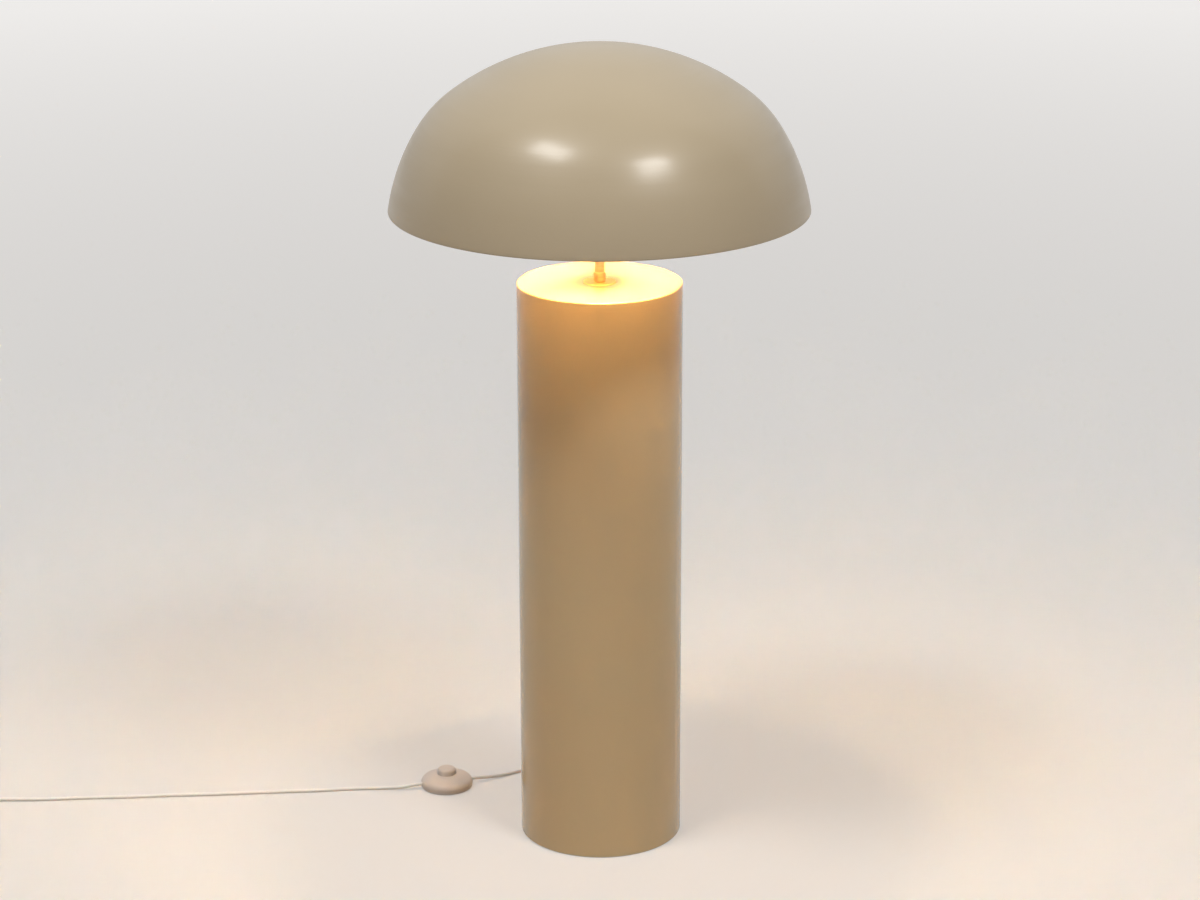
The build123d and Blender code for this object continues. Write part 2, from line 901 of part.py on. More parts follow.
def switch_cover():
    # Low crown with a rounded edge, a guide for the button and three screw bosses.
    edge = arc_points(shoulder_centre, shoulder_radius, 0, shoulder_end)
    crown = arc_points(crown_centre, switch_crown, shoulder_end, crown_end)
    inner_end = math.degrees(math.acos(
        (guide_bore + guide_wall - crown_centre[0]) / (switch_crown - switch_wall)
    ))
    inner_crown = arc_points(crown_centre, switch_crown - switch_wall, inner_end, shoulder_end)
    inner_edge = arc_points(shoulder_centre, shoulder_radius - switch_wall, shoulder_end, 0)
    outline = edge + crown[:-1]
    outline += [
        (guide_bore, cover_top),
        (guide_bore, guide_low),
        (guide_bore + guide_wall, guide_low),
    ]
    outline += inner_crown + inner_edge
    cover = turned(outline)
    boss_top = crown_centre[1] + math.sqrt(
        (switch_crown - switch_wall / 2) ** 2 - (boss_circle + boss_radius - crown_centre[0]) ** 2
    )
    boss = Pos(boss_circle, 0, 0) * disc(boss_radius, switch_floor_top + fit, boss_top)
    pilot = Pos(boss_circle, 0, 0) * disc(
        switch_screw_radius + thread_fit, switch_floor_top, switch_floor_top + pilot_depth
    )
    for one in beside_grips(boss):
        cover += one
    for hole in beside_grips(pilot):
        cover -= hole
    return in_switch(cover - cord_passage())


def switch_button():
    # Round push button: a domed cap with a skirt, and a flange that stops under the guide.
    top = cover_top + button_rise
    outer = arc_points((button_radius - button_edge, top - button_edge), button_edge, 0, button_edge_end)
    inner = button_radius - button_wall
    outline = [
        (inner, button_low),
        (button_radius + button_flange_width, button_low),
        (button_radius + button_flange_width, button_low + button_flange),
        (button_radius, button_low + button_flange),
    ]
    outline += outer
    outline += [(0, top), (0, button_ceiling), (inner, button_ceiling)]
    return in_switch(turned(outline))


def switch_mechanism():
    body = block((mechanism_length, mechanism_width, mechanism_height), (0, 0), switch_floor_top)
    body += disc(plunger_radius, mechanism_top, mechanism_top + plunger_height)
    return in_switch(body)


def switch_spring():
    wire = spring_wire / 2
    low, high = mechanism_top + seam, button_ceiling - fit
    return in_switch(ring(spring_radius + wire, spring_radius - wire, low, high))


def switch_terminals():
    low = switch_floor_top + seam
    places = (-terminal_centre, terminal_centre)
    return in_switch([block(terminal_size, (x, 0), low) for x in places])


def cord_grips():
    # Saddles that hold the cord's sheath just inside the switch.
    grips = []
    for side in (-1, 1):
        grip = block(grip_size, (side * grip_centre, 0), switch_floor_top + seam)
        grips.append(in_switch(grip - cord_passage()))
    return grips


def switch_screws():
    low = switch_low + seam
    screw = Pos(boss_circle, 0, 0) * disc(switch_screw_radius, low, low + switch_screw_length)
    return in_switch(beside_grips(screw))


def switch_pads():
    pad = Pos(switch_pad_circle, 0, 0) * disc(switch_pad_radius, 0, switch_pad_height)
    return in_switch(around(pad, switch_pad_count, switch_pad_first_angle))


# ---------------------------------------------------------------- free cord

coil_pitch = 2 * cord_radius + coil_gap      # from turn to turn, and from layer to layer
coil_step = coil_pitch / 2
coil_base = tie_rest + tie_thickness + tie_fit[2] + cord_radius    # the lower layer's middle


def coil_point(across, z):
    # Point on the line through the coil's middle, square to the way the cord comes in.
    angle = run_heading - 90
    return (coil_centre[0] + across * cos(angle), coil_centre[1] + across * sin(angle), z)


def half_turn(start, radius, side, low, high):
    # Half a turn to the left from a point on that line; side is +1 where it starts at +across.
    middle = start - side * radius
    rise = coil_point(middle, (low + high) / 2)
    reach = side * math.hypot(radius, (high - low) / 2)
    way = (reach * cos(run_heading), reach * sin(run_heading))
    peak = (rise[0] + way[0], rise[1] + way[1], rise[2])
    end = start - 2 * side * radius
    return ThreePointArc(coil_point(start, low), peak, coil_point(end, high)), end


def coil_arcs():
    # In by half turns, a layer up in the half turn where the spiral reverses, and out again.
    shrink = [coil_outer - coil_step * i for i in range(coil_half_turns + 1)]
    grow = shrink[-2:0:-1]
    arcs, place, side = [], coil_outer, 1
    low, high = coil_base, coil_base + coil_pitch
    for number, radius in enumerate(shrink + grow):
        z_start = low if number <= coil_half_turns else high
        z_end = low if number < coil_half_turns else high
        arc, place = half_turn(place, radius, side, z_start, z_end)
        arcs.append(arc)
        side = -side
    return arcs, place


def arc_radii(points):
    # Largest arc at each corner of a route that its two runs leave room for.
    radii = []
    for before, here, after in zip(points, points[1:], points[2:]):
        a, b = Vector(*here) - Vector(*before), Vector(*after) - Vector(*here)
        half = math.radians(a.get_angle(b)) / 2
        radii.append(0.45 * min(a.length, b.length) / math.tan(half))
    return radii


def tube(line, guide=None):
    # The cord along a line. A guide above a coil keeps its section upright where it climbs.
    level = (line % 0).cross(Vector(0, 0, 1))
    plane = Plane(origin=line @ 0, x_dir=level, z_dir=line % 0)
    return sweep(plane * RegularPolygon(cord_radius, cord_sides), path=line, binormal=guide)


def routed(points):
    return FilletPolyline(*points, radius=arc_radii(points))


coil_start = coil_point(coil_outer, coil_base)
lead_points = lead_route + (switch_point(switch_reach), switch_point(lead_end))
run_points = (switch_point(-lead_end), switch_point(-switch_reach)) + run_route
run_points += (
    (
        coil_start[0] - run_in * cos(run_heading),
        coil_start[1] - run_in * sin(run_heading),
        coil_base,
    ),
    coil_start,
)


def cord_lamp_lead():
    return tube(routed(lead_points))


def cord_mains_run():
    return tube(routed(run_points))


def cord_coil():
    arcs, _ = coil_arcs()
    line = Wire(arcs)
    return tube(line, Pos(0, 0, coil_pitch) * line)


def coil_tie():
    # Strap round the bundle, on the side away from where the cord comes in.
    fit_inside, fit_outside, fit_across = tie_fit
    inner = coil_outer - coil_half_turns * coil_step - cord_radius - fit_inside
    outer = coil_outer + cord_radius + fit_outside
    low = coil_base - cord_radius - fit_across
    high = coil_base + coil_pitch + cord_radius + fit_across
    plane = Plane(
        origin=coil_point(0, 0),
        x_dir=(cos(run_heading + 90), sin(run_heading + 90), 0),
        z_dir=(cos(run_heading), sin(run_heading), 0),
    )
    width, height = outer - inner, high - low
    hole = Pos((inner + outer) / 2, (low + high) / 2) * Rectangle(width, height)
    band = Pos((inner + outer) / 2, (low + high) / 2) * Rectangle(
        width + 2 * tie_thickness, height + 2 * tie_thickness
    )
    return extrude(plane * (band - hole), tie_width / 2, both=True)


# ---------------------------------------------------------------- tail and plug

plug_height = plug_thickness / 2 + plug_rest
relief_tip_radius = cord_radius + relief_tip_wall
coil_end = coil_point(coil_arcs()[1], coil_base + coil_pitch)


def tail_points():
    points = [coil_end]
    run = 2 * tail_radius * math.tan(math.radians(tail_turn / tail_corners / 2))
    x, y, high = coil_end
    for number, z in enumerate((high, high - tail_dip, plug_height, plug_height)):
        angle = run_heading + tail_turn * number / tail_corners
        x, y = x + run * cos(angle), y + run * sin(angle)
        points.append((x, y, z))
    return points


plug_place = Pos(*tail_points()[-1]) * Rot(0, 0, run_heading + tail_turn)


def cord_plug_tail():
    return tube(routed(tail_points()))


def plug_relief():
    # Moulded taper from the cord to the body, slotted across so that it bends.
    tip = Rectangle(2 * relief_tip_radius, 2 * relief_tip_radius)
    root = Pos(0, 0, relief_length) * Rectangle(relief_root_thickness, plug_tail_width)
    taper = loft([tip, root])
    slot_size = (relief_root_thickness, relief_slot_depth, relief_slot_width)
    for number in range(1, relief_slots + 1):
        low = relief_length * number / (relief_slots + 1)
        half = relief_tip_radius + (plug_tail_width / 2 - relief_tip_radius) * low / relief_length
        for side in (-1, 1):
            taper -= block(slot_size, (0, side * half), low - relief_slot_width / 2)
    return plug_place * (Rot(0, 90, 0) * taper)


def plug_body():
    low, high = relief_length, relief_length + plug_length
    half = (plug_tail_width / 2, plug_width / 2, plug_width / 2, plug_nose_width / 2)
    places = (low, *(low + share * plug_length for share in plug_shoulders), high)
    side = list(zip(places, half))
    outline = Polyline(*side, *[(x, -y) for x, y in reversed(side)], close=True)
    body = extrude(make_face(outline), plug_thickness / 2, both=True)
    faces = body.faces().filter_by(Axis.Z)
    body = chamfer(faces.edges(), plug_edge)
    for y in (-pin_spacing / 2, pin_spacing / 2):
        body -= rod((high - pin_root, y, 0), (high, y, 0), pin_radius)
    return plug_place * body


def plug_pins():
    nose = relief_length + plug_length
    thin = pin_radius - pin_sleeve_wall - sleeve_end_fit
    root, step, tip = nose - pin_root + pin_end_fit, nose + pin_sleeve_length, nose + pin_length
    pins = []
    for y in (-pin_spacing / 2, pin_spacing / 2):
        pin = rod((root, y, 0), (step, y, 0), thin) + rod((step, y, 0), (tip, y, 0), pin_radius)
        pins.append(plug_place * pin)
    return pins


def pin_sleeves():
    low = relief_length + plug_length + sleeve_end_fit
    high = low + pin_sleeve_length - 2 * sleeve_end_fit
    sleeves = []
    for y in (-pin_spacing / 2, pin_spacing / 2):
        start, end = (low, y, 0), (high, y, 0)
        sleeve = rod(start, end, pin_radius) - rod(start, end, pin_radius - pin_sleeve_wall)
        sleeves.append(plug_place * sleeve)
    return sleeves


# ---------------------------------------------------------------- checks printed with the build

def report_route(name, points):
    line = routed(points)
    volume = tube(line).volume
    section = RegularPolygon(cord_radius, cord_sides).area
    print(name, "length", round(line.length, 1), "volume / (section x length)",
          round(volume / (section * line.length), 5),
          "radii", [round(radius) for radius in arc_radii(points)])
    return line.length


def report_coil():
    wire = Wire(coil_arcs()[0])
    count = 1600
    points = [wire @ (i / count) for i in range(count + 1)]
    spacing = wire.length / count
    apart = math.ceil(6 * cord_radius / spacing)
    least = min(
        (points[i] - points[j]).length
        for i in range(0, count + 1, 2)
        for j in range(i + apart, count + 1, 2)
    )
    print("coil length", round(wire.length, 1), "least gap to itself", round(least - 2 * cord_radius, 2))
    return wire.length


# ---------------------------------------------------------------- write

makers = (
    column_shell, base_plate, base_lugs, base_screws, ballast_disc, ballast_bolt,
    ballast_washer, ballast_nut, foot_pads,
    cord_bush, cord_clamp, clamp_screws, inner_cord,
    threaded_nipple, inner_washer, inner_nut, saucer_washer, stem_collar, stem_sleeve,
    holder_cap, holder_skirt, holder_insert, screw_shell,
    centre_contact, clamp_ring,
    bulb_contact, bulb_cap, bulb_collar, bulb_globe,
    shade_dome, shade_spider, shade_nuts,
    switch_base, switch_cover, switch_button, switch_mechanism, switch_spring,
    switch_terminals, cord_grips, switch_screws, switch_pads,
    cord_lamp_lead, cord_mains_run, cord_coil, coil_tie, cord_plug_tail,
    plug_relief, plug_body, plug_pins, pin_sleeves,
)

os.makedirs("parts", exist_ok=True)
for maker in makers:
    made = maker()
    if isinstance(made, list):
        made = Compound(children=made)
    export_step(made, f"parts/{maker.__name__}.step")

lead = report_route("lamp lead", lead_points)
mains = report_route("mains run", run_points)
tail = report_route("plug tail", tail_points())
coil = report_coil()
print("lamp to switch", round(lead), "switch to plug", round(mains + coil + tail))
print("dome top", round(dome_top, 1), "rim radius", round(dome_point(rim_slope)[0], 1))
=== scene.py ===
import json
import math

import bmesh
import bpy
from mathutils import Matrix, Vector


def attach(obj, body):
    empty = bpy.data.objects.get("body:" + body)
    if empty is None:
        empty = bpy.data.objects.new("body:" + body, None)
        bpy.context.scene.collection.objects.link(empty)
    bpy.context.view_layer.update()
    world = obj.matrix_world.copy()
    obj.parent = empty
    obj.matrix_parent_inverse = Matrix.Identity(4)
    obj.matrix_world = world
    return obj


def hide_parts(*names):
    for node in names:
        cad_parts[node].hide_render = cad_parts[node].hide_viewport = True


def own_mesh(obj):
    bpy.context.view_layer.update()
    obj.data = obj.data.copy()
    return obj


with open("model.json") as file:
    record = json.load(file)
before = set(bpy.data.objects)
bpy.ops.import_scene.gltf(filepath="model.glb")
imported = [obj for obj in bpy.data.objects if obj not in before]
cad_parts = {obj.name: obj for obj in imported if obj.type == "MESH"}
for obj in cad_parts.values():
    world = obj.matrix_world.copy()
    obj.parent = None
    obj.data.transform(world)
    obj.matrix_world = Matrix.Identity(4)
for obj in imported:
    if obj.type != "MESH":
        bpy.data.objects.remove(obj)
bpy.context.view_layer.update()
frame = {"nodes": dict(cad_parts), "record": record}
print("frame loaded,", len(frame["nodes"]), "nodes")


# Camera first, where the photographer stood

camera = {
    "lens": 98.06,
    "sensor": 36.0,
    "place": (0.0, -3.7906, 1.7223),
    "pitch": 17.90,  # degrees below the horizon
    "roll": -0.124,
    "clip": (0.1, 60),
}


def addCamera():
    data = bpy.data.cameras.new("camera")
    data.lens = camera["lens"]
    data.sensor_width = camera["sensor"]
    data.clip_start, data.clip_end = camera["clip"]
    cam = bpy.data.objects.new("camera", data)
    bpy.context.scene.collection.objects.link(cam)
    turn = Matrix.Rotation(math.radians(90 - camera["pitch"]), 4, "X")
    roll = Matrix.Rotation(math.radians(camera["roll"]), 4, "Z")
    cam.matrix_world = Matrix.Translation(camera["place"]) @ turn @ roll
    bpy.context.scene.camera = cam


addCamera()


# Mesh helpers

softEdge = 35    # degrees, the sharpest turn that still shades as one surface
onAxis = 1e-7    # radius under which an outline's point lies on the axis


def arc(centre, radius, start, end, steps):
    # points of an outline on an arc, angles in degrees
    points = []
    for i in range(steps + 1):
        a = math.radians(start + (end - start) * i / steps)
        points.append((centre[0] + radius * math.cos(a), centre[1] + radius * math.sin(a)))
    return points


def circle(radius, height, steps):
    # points of a level ring round Z
    points = []
    for i in range(steps):
        a = 2 * math.pi * i / steps
        points.append((radius * math.cos(a), radius * math.sin(a), height))
    return points


def roundedRing(width, height, power, count):
    # closed outline between an ellipse and a rectangle; power 2 is the ellipse
    points = []
    for i in range(count):
        a = 2 * math.pi * i / count
        c, s = math.cos(a), math.sin(a)
        x = math.copysign(abs(c) ** (2 / power), c) * width / 2
        y = math.copysign(abs(s) ** (2 / power), s) * height / 2
        points.append((x, y))
    return points


def addPiece(name, data, slot, replaced=(), body="root"):
    # a mesh or curve as a piece of the lamp, in its slot's finish
    data.materials.append(finishes[slot])
    piece = bpy.data.objects.new(name, data)
    bpy.context.scene.collection.objects.link(piece)
    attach(piece, body)
    if replaced:
        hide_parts(*replaced)
    return piece


def smooth(mesh, sharp):
    # smooth faces, with hard edges where the surface turns by more than `sharp` degrees
    for face in mesh.polygons:
        face.use_smooth = True
    mesh.set_sharp_from_angle(angle=math.radians(sharp))
    return mesh


def finishMesh(bm, name, sharp=softEdge):
    bmesh.ops.recalc_face_normals(bm, faces=bm.faces)
    mesh = bpy.data.meshes.new(name)
    bm.to_mesh(mesh)
    bm.free()
    return smooth(mesh, sharp)


def spin(bm, outline, steps, place=Matrix(), closed=True):
    # turns an outline of (radius, height) about Z, then moves it to its place
    rings = []
    for radius, height in outline:
        ring = [(0, 0, height)] if radius < onAxis else circle(radius, height, steps)
        rings.append([bm.verts.new(place @ Vector(point)) for point in ring])
    pairs = list(zip(rings, rings[1:]))
    if closed:
        pairs.append((rings[-1], rings[0]))
    for low, high in pairs:
        if len(low) == 1 and len(high) == 1:
            continue
        for i in range(steps):
            j = (i + 1) % steps
            under = low if len(low) == 1 else [low[i], low[j]]
            over = high if len(high) == 1 else [high[j], high[i]]
            bm.faces.new(under + over)


def turned(name, outline, steps, place=Matrix(), closed=True):
    bm = bmesh.new()
    spin(bm, outline, steps, place, closed)
    return finishMesh(bm, name)


def skinned(name, rings, sharp=softEdge, endless=False):
    # skin through rings of points, each as many as the last, with a cap at each end
    # or, if endless, from the last ring back to the first
    bm = bmesh.new()
    made = [[bm.verts.new(p) for p in ring] for ring in rings]
    following = made[1:] + made[:1] if endless else made[1:]
    for low, high in zip(made, following):
        count = len(low)
        for i in range(count):
            j = (i + 1) % count
            bm.faces.new((low[i], low[j], high[j], high[i]))
    if not endless:
        bm.faces.new(made[0])
        bm.faces.new(made[-1])
    return finishMesh(bm, name, sharp)


def cut(mesh, cutter):
    # the mesh less the cutter, both closed
    body = bpy.data.objects.new("cutBody", mesh)
    tool = bpy.data.objects.new("cutTool", cutter)
    for one in (body, tool):
        bpy.context.scene.collection.objects.link(one)
    step = body.modifiers.new("cut", "BOOLEAN")
    step.operation, step.solver, step.object = "DIFFERENCE", "EXACT", tool
    bpy.context.view_layer.update()
    graph = bpy.context.evaluated_depsgraph_get()
    result = bpy.data.meshes.new_from_object(body.evaluated_get(graph))
    result.name = mesh.name + "Cut"
    for one in (body, tool):
        bpy.data.objects.remove(one)
    result.materials.clear()
    return smooth(result, softEdge)


def pipe(name, start, end, radius, steps=32):
    # closed round bar between two points, to cut with
    axis = Vector(end) - Vector(start)
    place = Matrix.Translation(start) @ axis.to_track_quat("Z", "Y").to_matrix().to_4x4()
    outline = [(0, 0), (radius, 0), (radius, axis.length), (0, axis.length)]
    return turned(name, outline, steps, place, closed=False)


# Finishes

noiseRange = (0.3, 0.7)  # where a noise's values mostly lie


def newFinish(name, roughness, metallic=0.0, **sockets):
    material = bpy.data.materials.new(name)
    material.use_nodes = True
    shader = material.node_tree.nodes["Principled BSDF"]
    shader.inputs["Roughness"].default_value = roughness
    shader.inputs["Metallic"].default_value = metallic
    for key, value in sockets.items():
        shader.inputs[key.replace("_", " ")].default_value = value
    return material, shader


def addNode(material, kind, links=None, **settings):
    # links maps this node's input to another node's output
    node = material.node_tree.nodes.new(kind)
    for key, value in settings.items():
        if key in node.inputs.keys():
            node.inputs[key].default_value = value
        else:
            setattr(node, key, value)
    for key, source in (links or {}).items():
        material.node_tree.links.new(source, node.inputs[key])
    return node


def wire(material, source, target):
    material.node_tree.links.new(source, target)


def calculate(material, operation, first, second):
    node = addNode(material, "ShaderNodeMath", {0: first, 1: second}, operation=operation)
    return node.outputs["Value"]


def lengthOf(material, vector):
    node = addNode(material, "ShaderNodeVectorMath", {0: vector}, operation="LENGTH")
    return node.outputs["Value"]


def objectSpace(material, stretch=(1, 1, 1)):
    place = addNode(material, "ShaderNodeTexCoord").outputs["Object"]
    mapping = addNode(material, "ShaderNodeMapping", {"Vector": place}, Scale=stretch)
    return mapping.outputs["Vector"]


def noise(material, place, scale, detail, roughness=0.5):
    node = addNode(material, "ShaderNodeTexNoise", {"Vector": place}, Scale=scale, Detail=detail)
    node.inputs["Roughness"].default_value = roughness
    return node.outputs["Fac"]


def setRange(node, fromRange, low=None, high=None):
    # a map range node's constants; what is None stays or is linked
    node.inputs["From Min"].default_value, node.inputs["From Max"].default_value = fromRange
    if low is not None:
        node.inputs["To Min"].default_value = low
    if high is not None:
        node.inputs["To Max"].default_value = high


def spread(material, source, low, high, fromRange=noiseRange):
    # a value's range stretched to run from low to high
    node = addNode(material, "ShaderNodeMapRange", {"Value": source})
    setRange(node, fromRange, low, high)
    return node.outputs["Result"]


def shade(colour, factor):
    return tuple(min(1.0, c * factor) for c in colour)


def colourBy(material, shader, factor, first, second):
    # the shader's colour, blended by a noise from the first to the second
    ramp = addNode(material, "ShaderNodeValToRGB", {"Fac": factor})
    ends = ramp.color_ramp.elements
    ends[0].position, ends[1].position = noiseRange
    ends[0].color, ends[1].color = (*first, 1), (*second, 1)
    wire(material, ramp.outputs["Color"], shader.inputs["Base Color"])


def roughenBy(material, shader, factor, roughness, share):
    # share is the least and the most, as parts of the finish's own roughness
    result = spread(material, factor, roughness * share[0], roughness * share[1])
    wire(material, result, shader.inputs["Roughness"])


def bump(material, shader, height, distance, strength=1.0, previous=None):
    node = addNode(material, "ShaderNodeBump", {"Height": height},
                   Distance=distance, Strength=strength)
    if previous is not None:
        wire(material, previous, node.inputs["Normal"])
    wire(material, node.outputs["Normal"], shader.inputs["Normal"])
    return node.outputs["Normal"]


lacquer = {
    "ior": 1.5,
    "specular": 0.3,
    "tone": (0.955, 1.045),    # darkest and palest part of the colour
    "cloudScale": 3.5,
    "hazeScale": 2.2,
    "haze": (0.8, 1.25),       # least and most of the roughness
    "peelScale": 260,
    "peel": 0.00004,           # depth of the orange peel
}

columnLook = {
    # the same lacquer as the dome's, but this copy of its colour is painted warmer and more orange
    # than the dome's: painted warm light from the bulb on the column
    "colour": (0.60, 0.462, 0.265),
    "gloss": 0.20,
    "coat": (0.50, 0.04),      # how much clear top coat, and its roughness
    "hazeStretch": (6, 6, 0.4),
    "waveStretch": (14, 14, 0.5),
    "wave": 0.0012,            # depth of the rolled sheet's waves
    "waveStrength": 0.35,
}

domeLook = {
    "colour": (0.500, 0.412, 0.285),
    "gloss": 0.38,
    "coat": (0.40, 0.22),
    "hazeStretch": (1, 1, 22),
    "ringScale": 170.0,
    "ring": 0.00003,           # depth of the lathe's traces
}


def lacquerFinish(name, look):
    weight, blur = look["coat"]
    material, shader = newFinish(name, look["gloss"], Coat_Weight=weight, Coat_Roughness=blur,
                                 IOR=lacquer["ior"], Specular_IOR_Level=lacquer["specular"])
    place = objectSpace(material)
    cloud = noise(material, place, lacquer["cloudScale"], detail=4)
    colourBy(material, shader, cloud, *(shade(look["colour"], tone) for tone in lacquer["tone"]))
    haze = noise(material, objectSpace(material, look["hazeStretch"]), lacquer["hazeScale"],
                 detail=5, roughness=0.6)
    roughenBy(material, shader, haze, look["gloss"], lacquer["haze"])
    peel = noise(material, place, lacquer["peelScale"], detail=2)
    normal = bump(material, shader, peel, lacquer["peel"])
    return material, shader, normal


def columnLacquer():
    # long soft waves down the rolled sheet, as in the bands that it mirrors
    material, shader, normal = lacquerFinish("columnLacquer", columnLook)
    wave = noise(material, objectSpace(material, columnLook["waveStretch"]), 1.0, detail=2)
    bump(material, shader, wave, columnLook["wave"], columnLook["waveStrength"], normal)
    return material


def domeLacquer():
    # fine rings where the tool went round the spun sheet
    material, shader, normal = lacquerFinish("domeLacquer", domeLook)
    place = addNode(material, "ShaderNodeTexCoord").outputs["Object"]
    split = addNode(material, "ShaderNodeSeparateXYZ", {"Vector": place}).outputs
    flat = addNode(material, "ShaderNodeCombineXYZ", {"X": split["X"], "Y": split["Y"]})
    reach = lengthOf(material, flat.outputs["Vector"])
    along = calculate(material, "SUBTRACT", reach, split["Z"])
    rings = addNode(material, "ShaderNodeTexNoise", {"W": along}, noise_dimensions="1D",
                    Scale=domeLook["ringScale"], Detail=2.0)
    bump(material, shader, rings.outputs["Fac"], domeLook["ring"], 1.0, normal)
    return material


metal = {
    "tone": (0.86, 1.1),
    "haze": (0.75, 1.3),
    "scale": 60,
    "grainScale": 720,
    "grain": 0.00003,
}


def metalFinish(name, colour, roughness, brushed=(1, 1, 1)):
    material, shader = newFinish(name, roughness, 1.0)
    place = objectSpace(material, brushed)
    cloud = noise(material, place, metal["scale"], detail=4, roughness=0.6)
    grain = noise(material, place, metal["grainScale"], detail=2)
    colourBy(material, shader, cloud, *(shade(colour, tone) for tone in metal["tone"]))
    roughenBy(material, shader, cloud, roughness, metal["haze"])
    bump(material, shader, grain, metal["grain"])
    return material


plastic = {
    "ior": 1.46,
    "cloudScale": 25,
    "hazeScale": 90,
    "haze": (0.85, 1.2),
}


def plasticFinish(name, colour, roughness, grain=(700, 0.00002), tone=0.03, **sockets):
    # grain is the scale and the depth
    material, shader = newFinish(name, roughness, IOR=plastic["ior"], **sockets)
    place = objectSpace(material)
    cloud = noise(material, place, plastic["cloudScale"], detail=3)
    colourBy(material, shader, cloud, shade(colour, 1 - tone), shade(colour, 1 + tone))
    haze = noise(material, place, plastic["hazeScale"], detail=4)
    roughenBy(material, shader, haze, roughness, plastic["haze"])
    bump(material, shader, noise(material, place, grain[0], detail=2), grain[1])
    return material


felt = {
    "dark": (0.05, 0.045, 0.04),
    "pale": (0.13, 0.115, 0.1),
    "noise": (900, 6, 0.8),    # scale, detail, roughness
    "depth": 0.0004,
}

castIron = {
    "dark": (0.05, 0.05, 0.055),
    "pale": (0.12, 0.115, 0.11),
    "noise": (380, 5, 0.7),
    "depth": 0.0005,
}


def grainyFinish(name, look, roughness, metallic=0.0, **sockets):
    # one noise for both the colour and the relief
    material, shader = newFinish(name, roughness, metallic, **sockets)
    grain = noise(material, objectSpace(material), *look["noise"])
    colourBy(material, shader, grain, look["dark"], look["pale"])
    bump(material, shader, grain, look["depth"])
    return material


opal = {
    "dark": (0.9, 0.87, 0.8),
    "pale": (0.96, 0.94, 0.88),
    "cloudScale": 18,
    "light": (1.0, 0.67, 0.27, 1),
    "atSide": 1080.0,
    "atTop": 30.0,
    "radius": 0.030,
}


def opalFinish():
    # opal glass with the lamp on
    material, shader = newFinish("opalGlass", 0.35, IOR=1.45)
    place = objectSpace(material)
    cloud = noise(material, place, opal["cloudScale"], detail=2)
    colourBy(material, shader, cloud, opal["dark"], opal["pale"])
    shader.inputs["Emission Color"].default_value = opal["light"]
    # as from an upright filament, most of it to the sides
    flat = addNode(material, "ShaderNodeVectorMath", {0: place}, operation="MULTIPLY")
    flat.inputs[1].default_value = (1, 1, 0)
    reach = lengthOf(material, flat.outputs["Vector"])
    strength = spread(material, reach, opal["atTop"], opal["atSide"], (0.0, opal["radius"]))
    wire(material, strength, shader.inputs["Emission Strength"])
    return material


tape = {
    "dark": (0.55, 0.49, 0.43),
    "pale": (0.72, 0.66, 0.6),
    "weaveScale": 520.0,
    "fibreScale": 1500,
    "depth": 0.0002,
}


def tieFinish():
    # woven tape
    material, shader = newFinish("tieTape", 0.9, Sheen_Weight=0.3)
    place = objectSpace(material)
    weave = addNode(material, "ShaderNodeTexWave", {"Vector": place},
                    Scale=tape["weaveScale"], Distortion=1.0)
    fibres = noise(material, place, tape["fibreScale"], detail=3)
    relief = calculate(material, "ADD", weave.outputs["Fac"], fibres)
    colourBy(material, shader, fibres, tape["dark"], tape["pale"])
    bump(material, shader, relief, tape["depth"])
    return material


finishes = {
    "column_lacquer": columnLacquer(),
    "shade_lacquer": domeLacquer(),
    "stem_brass": metalFinish("stemBrass", (0.90, 0.70, 0.38), 0.42, (1, 1, 8)),
    "zinc_steel": metalFinish("zincSteel", (0.60, 0.60, 0.58), 0.38),
    "cast_iron": grainyFinish("castIron", castIron, 0.7, 0.6),
    "felt": grainyFinish("felt", felt, 0.95, Sheen_Weight=0.5, Sheen_Roughness=0.6),
    "cord_vinyl": plasticFinish("cordVinyl", (0.96, 0.92, 0.88), 0.38, (900, 0.00002),
                                Subsurface_Weight=0.4, Subsurface_Radius=(1.0, 0.8, 0.7),
                                Subsurface_Scale=0.002),
    "holder_plastic": plasticFinish("holderPlastic", (0.74, 0.70, 0.62), 0.35),
    "holder_ceramic": plasticFinish("holderCeramic", (0.82, 0.80, 0.74), 0.6, (500, 0.00006)),
    "contact_brass": metalFinish("contactBrass", (0.80, 0.62, 0.34), 0.38),
    "bulb_opal": opalFinish(),
    "bulb_white": plasticFinish("bulbWhite", (0.84, 0.82, 0.78), 0.34),
    "bulb_cap_metal": metalFinish("bulbNickel", (0.66, 0.64, 0.60), 0.38),
    "switch_plastic": plasticFinish("switchPlastic", (0.74, 0.66, 0.60), 0.34, (600, 0.00002),
                                    0.025),
    "inner_plastic": plasticFinish("innerPlastic", (0.07, 0.07, 0.075), 0.5),
    "rubber": plasticFinish("rubber", (0.03, 0.03, 0.03), 0.8, (500, 0.00005)),
    "tie_fabric": tieFinish(),
}

for part in frame["record"]["subparts"]:
    node = frame["nodes"][part["node"]]
    node.data.materials.clear()
    node.data.materials.append(finishes[part["material_slot"]])
print("finishes made and given to the frame's nodes")


# Free cord. Its points are the ones that the part's source gives, in metres.

cord = {
    "radius": 0.0023,
    "floor": 0.0024,    # height of its middle where it lies
    "exitHeight": 0.014,
    "leadLength": 0.2513,
    "mainsLength": 1.4885,
    "sideSteps": 6,
    "spanSteps": 8,
    "order": 3,
}

leadRoute = [
    (0.0, 0.1261, cord["exitHeight"]),
    (0.0, 0.1460, cord["exitHeight"]),
    (-0.0040, 0.1660, 0.0085),
    (-0.0140, 0.1830, 0.0030),
    (-0.0320, 0.1950, cord["floor"]),
    (-0.0560, 0.1960, cord["floor"]),
    (-0.0800, 0.1845, cord["floor"]),
    (-0.1030, 0.1665, cord["floor"]),
    (-0.1270, 0.1495, 0.0030),
    (-0.1490, 0.1374, 0.0056),
]

